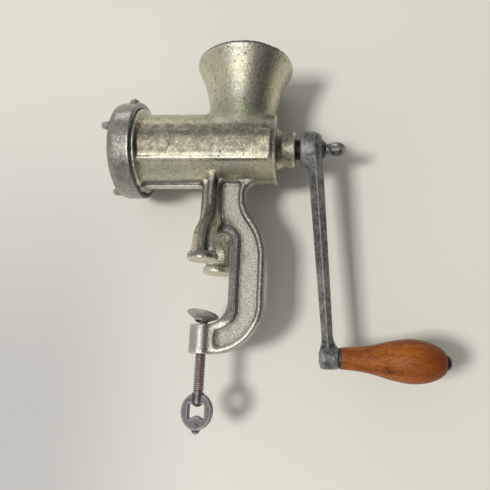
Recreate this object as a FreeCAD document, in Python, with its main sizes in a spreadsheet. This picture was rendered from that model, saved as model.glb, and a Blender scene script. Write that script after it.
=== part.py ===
import FreeCAD
import Part
import Sketcher
import math
import os

# Hand crank meat grinder, in millimetres.
# The barrel lies along X with its outlet at -X and the crank at +X, and +Z is up.
# The origin is on the clamp screw's axis, at the level of the table top that the two feet stand on.

SIZES = {
    # where the main axes lie
    "axis_height": 103.2,
    "hopper_place": 24.5,
    "foot_place": 3.0,
    "foot_spread": 28.5,
    # barrel, from the outer face of its rear wall to its mouth
    "barrel_rear": 55.5,
    "barrel_length": 131.0,
    "barrel_front_radius": 31.6,
    "barrel_rear_radius": 29.6,
    "bore_radius": 25.5,
    "rear_wall": 6.0,
    "mouth_radius": 36.5,
    "mouth_length": 15.0,
    "flare_length": 3.5,
    "bearing_radius": 15.0,
    "bearing_length": 15.2,
    "panel_rise": 1.2,
    "panel_top": 6.0,
    "panel_bottom": 18.0,
    "keel_width": 11.0,
    "keel_drop": 2.0,
    "panel_margin": 4.0,
    "bearing_flare": 4.0,
    # hopper, turned about an upright axis, with its heights taken from the barrel's axis;
    # its rim stands a little wider than the ring nut
    "hopper_rim_height": 78.5,
    "hopper_lip": 2.5,
    "hopper_neck_height": 24.0,
    "hopper_root": 12.0,
    "rim_overhang": 0.6,
    "neck_radius": 28.7,
    "hopper_wall": 4.2,
    # frame, legs and clamp boss
    "leg_left": -6.5,
    "leg_width": 16.0,
    "leg_foot_width": 19.5,
    "leg_thickness": 7.0,
    "leg_offset": 5.5,
    "leg_rib_width": 6.0,
    "leg_rib_depth": 8.0,
    "leg_bend": 60.0,
    "leg_shank": 9.0,
    "foot_radius": 12.0,
    "foot_thickness": 5.5,
    "jaw_inner": 20.0,
    "arch_top": 29.0,
    "arch_corner": 6.0,
    "arch_dip": 2.0,
    "haunch": 12.0,
    "jaw_bend": 17.5,
    "heel": 45.0,
    "heel_shift": 36.0,
    "frame_back": 48.0,
    "back_height": 6.0,
    "shoulder_height": 39.0,
    "shoulder_step": 10.0,
    "waist": 29.4,
    "waist_height": 59.0,
    "root_reach": 10.6,
    "root_rise": 0.6,
    "recess_gap": 0.8,
    "boss_edge": 0.4,
    "inner_band": 8.0,
    "outer_band": 5.0,
    "frame_thickness": 15.0,
    "web_thickness": 6.0,
    "boss_radius": 10.0,
    "boss_top": -46.0,
    "boss_bottom": -69.3,
    # fits, and how far joined solids and cutting solids run on
    "running_clearance": 0.05,
    "thread_clearance": 0.1,
    "loose_clearance": 0.3,
    "face_gap": 0.1,
    "overlap": 5.0,
    "sink": 0.5,
    "cut_past": 1.0,
    "edge_break": 0.8,
    # outlet: plate, knife, stud, key pin and ring nut
    "plate_radius": 31.0,
    "plate_thickness": 8.0,
    "plate_proud": 2.0,
    "plate_hole_radius": 2.9,
    "inner_hole_circle": 11.5,
    "middle_hole_circle": 18.5,
    "outer_hole_circle": 25.5,
    "knife_radius": 24.0,
    "knife_thickness": 6.0,
    "knife_hub_radius": 11.0,
    "blade_width": 9.0,
    "stud_square": 9.0,
    "stud_radius": 6.0,
    "stud_pin_radius": 4.8,
    "stud_depth": 13.0,
    "stud_proud": 3.0,
    "key_radius": 2.0,
    "key_length": 12.0,
    "ring_wall": 4.8,
    "ring_length": 20.5,
    "ring_lip": 4.5,
    "ring_opening": 27.5,
    "ring_nose": 6.0,
    "lug_radius": 4.3,
    "lug_rise": 3.6,
    "lug_setback": 2.0,
    "front_lug_radius": 3.3,
    "front_lug_reach": 5.5,
    "front_lug_inset": 4.5,
    "lug_turn": 28.0,
    "nose_turn": 79.0,
    "nose_spacing": 103.0,
    # feed screw
    "journal_radius": 8.6,
    "flight_radius": 24.7,
    "flight_root": 9.5,
    "flight_pitch": 33.0,
    "flight_thickness": 4.4,
    "flight_margin": 4.0,
    "core_front_radius": 12.0,
    "core_rear_radius": 14.0,
    "thrust_thickness": 2.0,
    "thrust_radius": 16.0,
    "tenon_square": 11.5,
    "tenon_short": 1.5,
    # crank
    "crank_gap": 4.0,
    "hub_radius": 15.0,
    "hub_length": 18.0,
    "hub_edge": 1.5,
    "hub_dome": 6.5,
    "hub_drop": 4.5,
    "crank_length": 171.0,
    "arm_upper_place": 86.5,
    "arm_upper_width": 13.0,
    "arm_upper_depth": 24.0,
    "arm_lower_width": 8.2,
    "arm_lower_depth": 15.0,
    "arm_foot_inset": 6.9,
    "arm_flare": 15.5,
    "pivot_place": 92.5,
    "pivot_length": 14.5,
    "pivot_radius": 8.9,
    "pivot_edge": 1.6,
    "crank_screw_radius": 3.9,
    "crank_screw_depth": 17.0,
    "collar_radius": 8.0,
    "collar_length": 3.2,
    "collar_nose_radius": 5.6,
    "screw_neck_radius": 4.6,
    "screw_neck_length": 2.0,
    "screw_eye_radius": 6.1,
    "screw_eye_wire": 2.35,
    "screw_eye_turn": 12.0,
    # grip: radii at its end, throat, swell, shoulder and tip
    "grip_washer_thickness": 1.2,
    "grip_washer_radius": 8.0,
    "grip_length": 76.2,
    "grip_end_radius": 8.3,
    "grip_throat_radius": 10.3,
    "grip_swell_radius": 16.4,
    "grip_tip_radius": 7.4,
    "rivet_radius": 3.9,
    "rivet_head_radius": 5.8,
    "rivet_head_height": 4.6,
    "rivet_tail": 0.6,
    # clamp
    "screw_core_radius": 3.6,
    "thread_radius": 4.4,
    "thread_pitch": 1.5,
    "pad_height": 7.0,
    "pad_radius": 12.9,
    "pad_rim": 1.6,
    "pad_neck_radius": 5.4,
    "pad_tilt": 13.5,
    "pad_turn": 54.0,
    "pad_lift": 0.5,
    "tip_radius": 2.2,
    "tip_length": 4.5,
    "socket_play": 1.8,
    "rod_drop": 0.6,
    "rod_seat": 1.0,
    "eye_half_width": 12.1,
    "eye_half_height": 13.8,
    "eye_thickness": 7.6,
    "eye_hole_width": 12.3,
    "eye_hole_height": 10.8,
    "eye_place": -112.2,
    "eye_boss_radius": 4.7,
    "eye_boss_reach": 2.3,
    "eye_boss_rise": 0.5,
    "eye_bump_radius": 5.2,
    "eye_bump_rise": 2.2,
    "eye_nub_radius": 3.0,
}

doc = FreeCAD.newDocument("meat_grinder")
sheet = doc.addObject("Spreadsheet::Sheet", "dims")
for row, (alias, value) in enumerate(SIZES.items(), start=1):
    sheet.set(f"A{row}", alias)
    sheet.set(f"B{row}", str(value))
    sheet.setAlias(f"B{row}", alias)
doc.recompute()

ALONG_X = FreeCAD.Rotation(FreeCAD.Vector(0, 1, 0), 90)
ALONG_Y = FreeCAD.Rotation(FreeCAD.Vector(1, 0, 0), -90)
ALONG_Z = FreeCAD.Rotation()
UPRIGHT = FreeCAD.Rotation(FreeCAD.Vector(1, 0, 0), 90)

# places along X that several pieces share
MOUTH = "(dims.barrel_rear - dims.barrel_length)"
PLATE_FRONT = f"({MOUTH} - dims.plate_proud)"
PLATE_BACK = f"({PLATE_FRONT} + dims.plate_thickness)"
KNIFE_FRONT = f"({PLATE_BACK} + dims.face_gap)"
SCREW_FRONT = f"({KNIFE_FRONT} + dims.knife_thickness + dims.face_gap)"
WALL_INSIDE = "(dims.barrel_rear - dims.rear_wall)"
THRUST_FACE = f"({WALL_INSIDE} - dims.face_gap)"
SCREW_REAR = f"({THRUST_FACE} - dims.thrust_thickness)"
BEARING_END = "(dims.barrel_rear + dims.bearing_length)"
HUB_START = f"({BEARING_END} + dims.crank_gap)"
HUB_END = f"({HUB_START} + dims.hub_length)"
PIVOT_HEIGHT = "(dims.axis_height - dims.crank_length)"
PIVOT_END = "(dims.pivot_place + dims.pivot_length)"
GRIP_START = f"({PIVOT_END} + dims.grip_washer_thickness + dims.face_gap)"
GRIP_END = f"({GRIP_START} + dims.grip_length)"
SEAT_RADIUS = "(dims.plate_radius + dims.loose_clearance)"
RING_BORE = "(dims.mouth_radius + dims.loose_clearance)"
RING_RADIUS = f"({RING_BORE} + dims.ring_wall)"


def size(text):
    """The value of a sheet alias or of an expression of aliases."""
    return float(sheet.evalExpression(text if "dims." in text else f"dims.{text}"))


def bind(item, sizes):
    for name, text in sizes.items():
        item.setExpression(name, text)
    return item


def place(item, base):
    """Tie an object's position to three expressions."""
    for letter, text in zip("xyz", base):
        if text != "0":
            item.setExpression(f"Placement.Base.{letter}", text)
    return item


def primitive(kind, name, sizes, base=("0", "0", "0"), turn=ALONG_Z):
    item = doc.addObject(f"Part::{kind}", name)
    item.Placement = FreeCAD.Placement(FreeCAD.Vector(), turn)
    bind(item, sizes)
    return place(item, base)


def rod(name, radius, start, end, turn=ALONG_X, across=("0", "0")):
    """A cylinder from start to end along X, or along Z with turn ALONG_Z."""
    base = (start, *across) if turn == ALONG_X else (*across, start)
    sizes = {"Radius": radius, "Height": f"({end}) - ({start})"}
    return primitive("Cylinder", name, sizes, base, turn)


def taper(name, first, second, start, end):
    sizes = {"Radius1": first, "Radius2": second, "Height": f"({end}) - ({start})"}
    return primitive("Cone", name, sizes, (start, "0", "0"), ALONG_X)


def square_bar(name, across, start, end):
    half = f"-({across}) / 2"
    sizes = {"Length": f"({end}) - ({start})", "Width": across, "Height": across}
    return primitive("Box", name, sizes, (start, half, half))


def fuse(name, items):
    item = doc.addObject("Part::MultiFuse", name)
    item.Shapes = items
    return item


def cut(name, base, tools):
    item = doc.addObject("Part::Cut", name)
    item.Base = base
    item.Tool = tools[0] if len(tools) == 1 else fuse(f"{name}_tools", tools)
    return item


def draw_outline(sketch, corners):
    """A closed polygon whose corners follow pairs of expressions."""
    points = [FreeCAD.Vector(float(sketch.evalExpression(x)), float(sketch.evalExpression(y)), 0)
              for x, y in corners]
    count = len(points)
    for i in range(count):
        sketch.addGeometry(Part.LineSegment(points[i], points[(i + 1) % count]), False)
    for i in range(count):
        sketch.addConstraint(Sketcher.Constraint("Coincident", i, 2, (i + 1) % count, 1))
    for i, (x, y) in enumerate(corners):
        for kind, text, value, axis in (("DistanceX", x, points[i].x, -2), ("DistanceY", y, points[i].y, -1)):
            if text == "0":
                sketch.addConstraint(Sketcher.Constraint("PointOnObject", i, 1, axis))
            else:
                index = sketch.addConstraint(Sketcher.Constraint(kind, -1, 1, i, 1, value))
                sketch.setExpression(f"Constraints[{index}]", text)
    return sketch


def draw_circle(sketch, radius, x="0", y="0"):
    """A circle whose radius and centre follow expressions."""
    centre = FreeCAD.Vector(float(sketch.evalExpression(x)), float(sketch.evalExpression(y)), 0)
    value = float(sketch.evalExpression(radius))
    ring = sketch.addGeometry(Part.Circle(centre, FreeCAD.Vector(0, 0, 1), value), False)
    index = sketch.addConstraint(Sketcher.Constraint("Radius", ring, value))
    sketch.setExpression(f"Constraints[{index}]", radius)
    for kind, text, place_value, axis in (("DistanceX", x, centre.x, -2), ("DistanceY", y, centre.y, -1)):
        if text == "0":
            sketch.addConstraint(Sketcher.Constraint("PointOnObject", ring, 3, axis))
        else:
            index = sketch.addConstraint(Sketcher.Constraint(kind, -1, 1, ring, 3, place_value))
            sketch.setExpression(f"Constraints[{index}]", text)
    return sketch


def free_sketch(name, turn=UPRIGHT):
    """A sketch of its own, upright in the XZ plane unless turned otherwise."""
    sketch = doc.addObject("Sketcher::SketchObject", name)
    sketch.Placement = FreeCAD.Placement(FreeCAD.Vector(), turn)
    return sketch


def turned(name, corners, axis=FreeCAD.Vector(1, 0, 0)):
    """A turned solid: an outline in the XZ plane spun round an axis through the origin."""
    sketch = draw_outline(free_sketch(f"{name}_outline"), corners)
    item = doc.addObject("Part::Revolution", name)
    item.Source = sketch
    item.Axis = axis
    item.Angle = 360
    item.Solid = True
    return item


def origin_plane(body, role):
    return next(item for item in body.Origin.OriginFeatures if item.Role == role)


def body_sketch(body, name, role):
    sketch = body.newObject("Sketcher::SketchObject", name)
    sketch.AttachmentSupport = [(origin_plane(body, role), "")]
    sketch.MapMode = "FlatFace"
    return sketch


def flat_body(name, thickness, draw, role="YZ_Plane"):
    """A body padded from a sketch that draw fills in, along X for the YZ plane."""
    body = doc.addObject("PartDesign::Body", name)
    sketch = body_sketch(body, f"{name}_sketch", role)
    draw(sketch)
    pad = body.newObject("PartDesign::Pad", f"{name}_pad")
    pad.Profile = sketch
    bind(pad, {"Length": thickness})
    doc.recompute()
    return body


def drill(body, name, draw, role="YZ_Plane"):
    """A pocket through the body along the pad's direction."""
    sketch = body_sketch(body, f"{name}_sketch", role)
    draw(sketch)
    pocket = body.newObject("PartDesign::Pocket", name)
    pocket.Profile = sketch
    pocket.Type = 1
    pocket.Reversed = True
    doc.recompute()
    return pocket


def repeat_round(body, name, feature, count, role="X_Axis"):
    pattern = body.newObject("PartDesign::PolarPattern", name)
    pattern.Originals = [feature]
    pattern.Axis = (origin_plane(body, role), [""])
    pattern.Angle = 360
    pattern.Occurrences = round(count)
    body.Tip = pattern
    doc.recompute()
    return pattern


def shaped(name, shape):
    item = doc.addObject("Part::Feature", name)
    item.Shape = shape
    return item


def finish(item, label, base=("0", "0", "0")):
    """Name a finished sub-part and tie its position."""
    item.Label = label
    place(item, base)
    finished.append(item)
    return item


finished = []
ON_AXIS = ("0", "0", "dims.axis_height")


# housing

# a quarter circle's height as a share of its chord
QUARTER = 0.207
# the bows of the frame's other curves, as the same share
HAUNCH_BOW = 0.37
SHOULDER_BOW = 0.08
WAIST_BOW = 0.09
JAW_BOW = 0.24


def path_wire(start, steps):
    """A closed wire in the XZ plane: each step is a point, and a third number bows the way there to its left.

    The bow is the arc's height as a share of its chord.
    """
    edges = []
    here = FreeCAD.Vector(start[0], 0, start[1])
    for x, z, *bow in steps:
        there = FreeCAD.Vector(x, 0, z)
        if bow:
            chord = there - here
            middle = (here + there) * 0.5 + FreeCAD.Vector(-chord.z, 0, chord.x) * bow[0]
            edges.append(Part.Arc(here, middle, there).toShape())
        else:
            edges.append(Part.LineSegment(here, there).toShape())
        here = there
    return Part.Wire(edges)


def trumpet(inset, low):
    """The flared hopper, drawn in by inset, from a level above the barrel's axis to its rim."""
    neck = size("neck_radius") - inset
    rim = size(f"{RING_RADIUS} + dims.rim_overhang") - inset
    bend_start = size("hopper_neck_height")
    rim_height = size("hopper_rim_height")
    bend_end = rim_height - size("hopper_lip")
    # one arc leaves the neck upright and reaches the upright lip
    lean = math.atan2(rim - neck, bend_end - bend_start)
    outline = path_wire((0, low), [
        (neck, low),
        (neck, bend_start),
        (rim, bend_end, math.tan(lean / 2) / 2),
        (rim, rim_height),
        (0, rim_height),
        (0, low),
    ])
    solid = Part.Face(outline).revolve(FreeCAD.Vector(), FreeCAD.Vector(0, 0, 1), 360)
    solid.translate(FreeCAD.Vector(size("hopper_place"), 0, size("axis_height")))
    return solid


def slab(wire, first, last):
    """A wire of the XZ plane made solid between two places along Y."""
    face = Part.Face(wire)
    face.translate(FreeCAD.Vector(0, first, 0))
    return face.extrude(FreeCAD.Vector(0, last - first, 0))


def frame_solid():
    """The C-frame under the barrel: an I-section with a band round a thin web."""
    left = size("leg_left")
    jaw = size("jaw_inner")
    arch = size("arch_top")
    spring = arch - size("haunch")
    back = size("frame_back")
    back_height = size("back_height")
    shoulder = back - size("shoulder_step")
    shoulder_height = size("shoulder_height")
    waist = size("waist")
    waist_height = size("waist_height")
    under = size("axis_height") - size("barrel_rear_radius") + size("root_rise")
    top = under + size("overlap") / 2
    rear = size("barrel_rear") - size("cut_past")
    lower = size("boss_bottom") + size("boss_edge")
    upper = size("boss_top") - size("boss_edge")
    bend_height = upper + size("jaw_bend")
    heel_place = back - size("heel_shift")
    heel_height = lower + size("heel")
    corner = size("arch_corner")
    outline = path_wire((left, top), [
        (left, arch + corner),
        (left + corner, arch, -QUARTER),
        (jaw - size("haunch"), arch - size("arch_dip")),
        (jaw, spring, HAUNCH_BOW),
        (jaw, bend_height),
        (jaw - size("jaw_bend"), upper, QUARTER),
        (0, upper),
        (0, lower),
        (heel_place, lower),
        (back, heel_height, -QUARTER),
        (back, back_height),
        (shoulder, shoulder_height, -SHOULDER_BOW),
        (waist, waist_height, WAIST_BOW),
        (waist + size("root_reach"), under, QUARTER),
        (rear, under),
        (rear, top),
        (left, top),
    ])
    inner = size("inner_band")
    outer = size("outer_band")
    edge = left + size("leg_width") + size("recess_gap")
    recess = path_wire((edge, under - outer / 2), [
        (waist - outer / 2, under - outer / 2),
        (waist - outer, waist_height, -SHOULDER_BOW),
        (shoulder - outer, shoulder_height - outer / 2, -WAIST_BOW),
        (back - outer, back_height, SHOULDER_BOW),
        (back - outer, heel_height),
        (heel_place, lower + outer, QUARTER),
        (heel_place, upper - inner / 2),
        (jaw + inner, bend_height, -JAW_BOW),
        (jaw + inner, spring),
        (edge, arch + inner, -JAW_BOW),
        (edge, under - outer / 2),
    ])
    half = size("frame_thickness") / 2
    web = size("web_thickness") / 2
    solid = slab(outline, -half, half)
    past = half + size("cut_past")
    return solid.cut(slab(recess, -past, -web)).cut(slab(recess, web, past))


def leg_solid():
    """The rear leg: a T-section swept down from the barrel and out to its foot."""
    bend = math.radians(size("leg_bend"))
    reach = size("foot_spread") - size("leg_offset")
    radius = reach / (2 * (1 - math.cos(bend)))
    shank = size("leg_shank")
    drop = radius * math.sin(bend)
    knee = size("leg_offset") + reach / 2
    top = size("axis_height") - size("barrel_rear_radius") + size("overlap")

    def at(across, height):
        return FreeCAD.Vector(0, across, height)

    def arc_middle(turn_y, turn_z, towards):
        angle = bend / 2
        return at(turn_y + towards * radius * math.cos(angle), turn_z + towards * radius * math.sin(angle))

    high = at(size("leg_offset"), shank + 2 * drop)
    middle = at(knee, shank + drop)
    low = at(size("foot_spread"), shank)
    path = Part.Wire([
        Part.LineSegment(at(size("leg_offset"), top), high).toShape(),
        Part.Arc(high, arc_middle(size("leg_offset") + radius, shank + 2 * drop, -1), middle).toShape(),
        Part.Arc(middle, arc_middle(size("foot_spread") - radius, shank, 1), low).toShape(),
        Part.LineSegment(low, at(size("foot_spread"), size("foot_thickness") / 2)).toShape(),
    ])
    left = size("leg_left")
    inside = size("leg_offset") - size("leg_thickness") / 2
    outside = inside + size("leg_thickness")
    crest = outside + size("leg_rib_depth")
    rib_left = size("foot_place") - size("leg_rib_width") / 2
    rib_right = rib_left + size("leg_rib_width")

    def section(width, across, height):
        right = left + width
        outline = [(left, inside), (right, inside), (right, outside), (rib_right, outside),
                   (rib_right, crest), (rib_left, crest), (rib_left, outside), (left, outside)]
        corners = [FreeCAD.Vector(x, y + across, height) for x, y in outline]
        return Part.makePolygon(corners + corners[:1])

    upper = section(size("leg_width"), 0, top)
    lower = section(size("leg_foot_width"), reach, size("foot_thickness") / 2)
    return path.makePipeShell([upper, lower], True, True)


barrel_front = f"({MOUTH} + dims.mouth_length)"
barrel_parts = [
    taper("barrel_tube", "dims.barrel_front_radius", "dims.barrel_rear_radius", barrel_front,
          "dims.barrel_rear"),
    rod("mouth_collar", "dims.mouth_radius", MOUTH, f"{barrel_front} + dims.cut_past"),
    taper("mouth_flare", "dims.mouth_radius", "dims.barrel_front_radius - dims.sink", barrel_front,
          f"{barrel_front} + dims.flare_length"),
    rod("bearing_boss", "dims.bearing_radius", WALL_INSIDE, BEARING_END),
    taper("bearing_root", "dims.bearing_radius + dims.bearing_flare", "dims.bearing_radius",
          "dims.barrel_rear - dims.cut_past", "dims.barrel_rear + dims.bearing_flare"),
]
barrel = place(fuse("barrel", barrel_parts), ON_AXIS)

# raised band along both flanks of the barrel
band_box = primitive(
    "Box", "band_box",
    {"Length": f"dims.barrel_rear - dims.panel_margin - {barrel_front} - dims.flare_length",
     "Width": "4 * dims.barrel_front_radius",
     "Height": "dims.panel_top + dims.panel_bottom"},
    (f"{barrel_front} + dims.flare_length", "-2 * dims.barrel_front_radius", "-dims.panel_bottom"))
band_tube = taper("band_tube", "dims.barrel_front_radius + dims.panel_rise",
                  "dims.barrel_rear_radius + dims.panel_rise", barrel_front, "dims.barrel_rear")
band = doc.addObject("Part::Common", "raised_band")
band.Base = band_tube
band.Tool = band_box
place(band, ON_AXIS)

keel = primitive(
    "Box", "keel",
    {"Length": f"dims.foot_place - {barrel_front}",
     "Width": "dims.keel_width",
     "Height": "dims.keel_drop + dims.overlap"},
    (barrel_front, "-dims.keel_width / 2", "dims.axis_height - dims.barrel_front_radius - dims.keel_drop"))

hopper = shaped("hopper_shell", trumpet(0.0, size("hopper_root")))
frame = shaped("frame_section", frame_solid())
rear_leg = shaped("leg_rear", leg_solid())
front_leg = shaped("leg_front", leg_solid().mirror(FreeCAD.Vector(), FreeCAD.Vector(0, 1, 0)))
feet = [rod(f"foot_{name}", "dims.foot_radius", "0", "dims.foot_thickness", ALONG_Z,
            ("dims.foot_place", f"{side} * dims.foot_spread"))
        for name, side in (("front", -1), ("rear", 1))]
clamp_boss = rod("clamp_boss", "dims.boss_radius", "dims.boss_bottom", "dims.boss_top", ALONG_Z)

hopper_space = shaped("hopper_space", trumpet(size("hopper_wall"), 0.0))
barrel_spaces = [
    rod("barrel_bore", "dims.bore_radius", PLATE_BACK, WALL_INSIDE),
    rod("plate_seat", SEAT_RADIUS, f"{MOUTH} - dims.cut_past", PLATE_BACK),
    rod("bearing_bore", "dims.journal_radius + dims.running_clearance", f"{WALL_INSIDE} - dims.cut_past",
        f"{BEARING_END} + dims.cut_past"),
    rod("key_hole", "dims.key_radius", f"{MOUTH} - dims.cut_past", f"{MOUTH} + dims.key_length", ALONG_X,
        ("0", f"-{SEAT_RADIUS}")),
]
barrel_space = place(fuse("barrel_space", barrel_spaces), ON_AXIS)
clamp_bore = rod("clamp_bore", "dims.thread_radius + dims.thread_clearance",
                 "dims.boss_bottom - dims.cut_past", "dims.boss_top + dims.cut_past", ALONG_Z)

casting = fuse("casting", [barrel, band, keel, hopper, frame, rear_leg, front_leg, *feet, clamp_boss])
finish(cut("housing_cut", casting, [hopper_space, barrel_space, clamp_bore]), "housing")

# outlet

key_pin = rod("key_pin_rod", "dims.key_radius", f"{MOUTH} - dims.plate_proud / 2",
              f"{MOUTH} + dims.key_length", ALONG_X, ("0", f"-{SEAT_RADIUS}"))
finish(key_pin, "plate_key_pin")
key_pin.setExpression("Placement.Base.z", f"dims.axis_height - {SEAT_RADIUS}")

plate = flat_body("plate_body", "dims.plate_thickness",
                  lambda sketch: draw_circle(sketch, "dims.plate_radius"))
drill(plate, "plate_centre", lambda sketch: draw_circle(
    sketch, "dims.stud_pin_radius + dims.loose_clearance"))
drill(plate, "plate_notch", lambda sketch: draw_circle(
    sketch, "dims.key_radius + dims.loose_clearance", "0", f"-{SEAT_RADIUS}"))
for ring_name, circle, count in (("inner", "dims.inner_hole_circle", 6),
                                 ("middle", "dims.middle_hole_circle", 12),
                                 ("outer", "dims.outer_hole_circle", 18)):
    hole = drill(plate, f"{ring_name}_hole",
                 lambda sketch: draw_circle(sketch, "dims.plate_hole_radius", circle, "0"))
    repeat_round(plate, f"{ring_name}_holes", hole, count)
finish(plate, "perforated_plate", (PLATE_FRONT, "0", "dims.axis_height"))


def draw_blade(sketch):
    half = "dims.blade_width / 2"
    trailing_edge = f"-{half} * 0.6"
    draw_outline(sketch, [("0", f"-{half}"), ("dims.knife_radius", trailing_edge),
                          ("dims.knife_radius", half), ("0", half)])


knife = flat_body("knife_body", "dims.knife_thickness",
                  lambda sketch: draw_circle(sketch, "dims.knife_hub_radius"))
blade_sketch = body_sketch(knife, "blade_sketch", "YZ_Plane")
draw_blade(blade_sketch)
blade = knife.newObject("PartDesign::Pad", "blade")
blade.Profile = blade_sketch
bind(blade, {"Length": "dims.knife_thickness"})
doc.recompute()
repeat_round(knife, "blades", blade, 4)
knife_half = "(dims.stud_square / 2 + dims.running_clearance)"
drill(knife, "knife_square", lambda sketch: draw_outline(
    sketch, [(f"-{knife_half}", f"-{knife_half}"), (knife_half, f"-{knife_half}"),
             (knife_half, knife_half), (f"-{knife_half}", knife_half)]))
finish(knife, "knife", (KNIFE_FRONT, "0", "dims.axis_height"))

stud_parts = [
    rod("stud_root", "dims.stud_radius", SCREW_FRONT, f"{SCREW_FRONT} + dims.stud_depth"),
    square_bar("stud_drive", "dims.stud_square", PLATE_BACK, SCREW_FRONT),
    rod("stud_pin", "dims.stud_pin_radius", f"{PLATE_FRONT} - dims.stud_proud", PLATE_BACK),
]
finish(fuse("stud", stud_parts), "feed_screw_stud", ON_AXIS)

# ring nut: a turned ring with a lug near its rear edge and three lugs on its nose
RING_FRONT = f"({PLATE_FRONT} - dims.face_gap - dims.ring_lip)"
RING_REAR = f"({RING_FRONT} + dims.ring_length)"
ring_outline = [
    (RING_REAR, RING_BORE),
    (RING_REAR, f"{RING_RADIUS} - dims.edge_break"),
    (f"{RING_REAR} - dims.edge_break", RING_RADIUS),
    (f"{RING_FRONT} + dims.ring_nose", RING_RADIUS),
    (f"{RING_FRONT} + dims.ring_nose * 0.3", f"{RING_RADIUS} - dims.ring_nose * 0.25"),
    (RING_FRONT, f"{RING_RADIUS} - dims.ring_nose * 0.75"),
    (RING_FRONT, "dims.ring_opening"),
    (f"{RING_FRONT} + dims.ring_lip", "dims.ring_opening"),
    (f"{RING_FRONT} + dims.ring_lip", RING_BORE),
]
ring_parts = [turned("ring_band", ring_outline)]
lug_circle = f"({RING_RADIUS} + dims.lug_rise - dims.lug_radius)"
ring_parts.append(primitive(
    "Sphere", "rear_lug", {"Radius": "dims.lug_radius"},
    (f"{RING_REAR} - dims.lug_radius - dims.lug_setback", f"-sin(dims.lug_turn) * {lug_circle}",
     f"cos(dims.lug_turn) * {lug_circle}")))
front_circle = f"({RING_RADIUS} - dims.front_lug_inset)"
lug_tip = f"{RING_FRONT} - dims.front_lug_reach + dims.front_lug_radius"
for index in range(3):
    angle = f"dims.nose_turn + {index} * dims.nose_spacing"
    across = (f"-sin({angle}) * {front_circle}", f"cos({angle}) * {front_circle}")
    ring_parts.append(rod(f"front_lug_{index + 1}", "dims.front_lug_radius", lug_tip,
                          f"{RING_FRONT} + dims.ring_lip", ALONG_X, across))
    ring_parts.append(primitive("Sphere", f"front_lug_end_{index + 1}", {"Radius": "dims.front_lug_radius"},
                                (lug_tip, *across)))
finish(fuse("ring", ring_parts), "ring_nut", ON_AXIS)

# feed screw

spine = primitive("Helix", "flight_spine",
                  {"Pitch": "dims.flight_pitch",
                   "Height": f"{SCREW_REAR} - {SCREW_FRONT} - 2 * dims.flight_margin - dims.flight_thickness",
                   "Radius": "(dims.flight_root + dims.flight_radius) / 2"})
flight_half = "dims.flight_thickness / 2"
flight_edge = f"{flight_half} * 0.7"
flight_profile = draw_outline(free_sketch("flight_profile"), [
    ("dims.flight_root", f"-{flight_half}"), ("dims.flight_radius", f"-{flight_edge}"),
    ("dims.flight_radius", flight_edge), ("dims.flight_root", flight_half)])
flight = doc.addObject("Part::Sweep", "flight")
flight.Sections = [flight_profile]
flight.Spine = (spine, [])
flight.Solid = True
flight.Frenet = True
flight.Placement = FreeCAD.Placement(FreeCAD.Vector(), ALONG_X)
place(flight, (f"{SCREW_FRONT} + dims.flight_margin + {flight_half}", "0", "0"))
feed_parts = [
    taper("feed_core", "dims.core_front_radius", "dims.core_rear_radius", SCREW_FRONT, SCREW_REAR),
    flight,
    rod("journal", "dims.journal_radius", f"{SCREW_REAR} - dims.cut_past", f"{HUB_START} - dims.face_gap"),
    square_bar("tenon", "dims.tenon_square", f"{HUB_START} - dims.cut_past", f"{HUB_END} - dims.tenon_short"),
]
feed_spaces = [
    rod("stud_hole", "dims.stud_radius", f"{SCREW_FRONT} - dims.cut_past",
        f"{SCREW_FRONT} + dims.stud_depth"),
    rod("tapped_hole", "dims.crank_screw_radius + dims.running_clearance",
        f"{HUB_END} - dims.crank_screw_depth - dims.cut_past", HUB_END),
]
finish(cut("feed", fuse("feed_solid", feed_parts), feed_spaces), "feed_screw", ON_AXIS)


def draw_washer(sketch, outer, inner):
    draw_circle(sketch, outer)
    draw_circle(sketch, inner)


thrust = flat_body("thrust_body", "dims.thrust_thickness - dims.face_gap", lambda sketch: draw_washer(
    sketch, "dims.thrust_radius", "dims.journal_radius + dims.running_clearance"))
finish(thrust, "thrust_washer", (f"{SCREW_REAR} + dims.face_gap / 2", "0", "dims.axis_height"))

# crank

# half the arm's flat side, as a share of its depth
ARM_SIDE = 0.18


def arm_section(name, middle, height, width, depth):
    """A six-sided section of the arm in a level plane, ridged fore and aft."""
    sketch = free_sketch(name, ALONG_Z)
    half = f"{width} / 2"
    side = f"{depth} * {ARM_SIDE}"
    draw_outline(sketch, [
        (f"-{half}", f"-{side}"), ("0", f"-{depth} / 2"), (half, f"-{side}"),
        (half, side), ("0", f"{depth} / 2"), (f"-{half}", side)])
    return place(sketch, (middle, "0", height))


def straight_loft(name, sections):
    item = doc.addObject("Part::Loft", name)
    item.Sections = sections
    item.Solid = True
    item.Ruled = True
    return item


AT_PIVOT = ("0", "0", PIVOT_HEIGHT)
ARM_FOOT = "(dims.pivot_place + dims.arm_foot_inset)"
arm = straight_loft("arm", [
    arm_section("arm_top", "dims.arm_upper_place", "dims.axis_height", "dims.arm_upper_width",
                "dims.arm_upper_depth"),
    arm_section("arm_foot", ARM_FOOT, PIVOT_HEIGHT, "dims.arm_lower_width", "dims.arm_lower_depth"),
])
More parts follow.
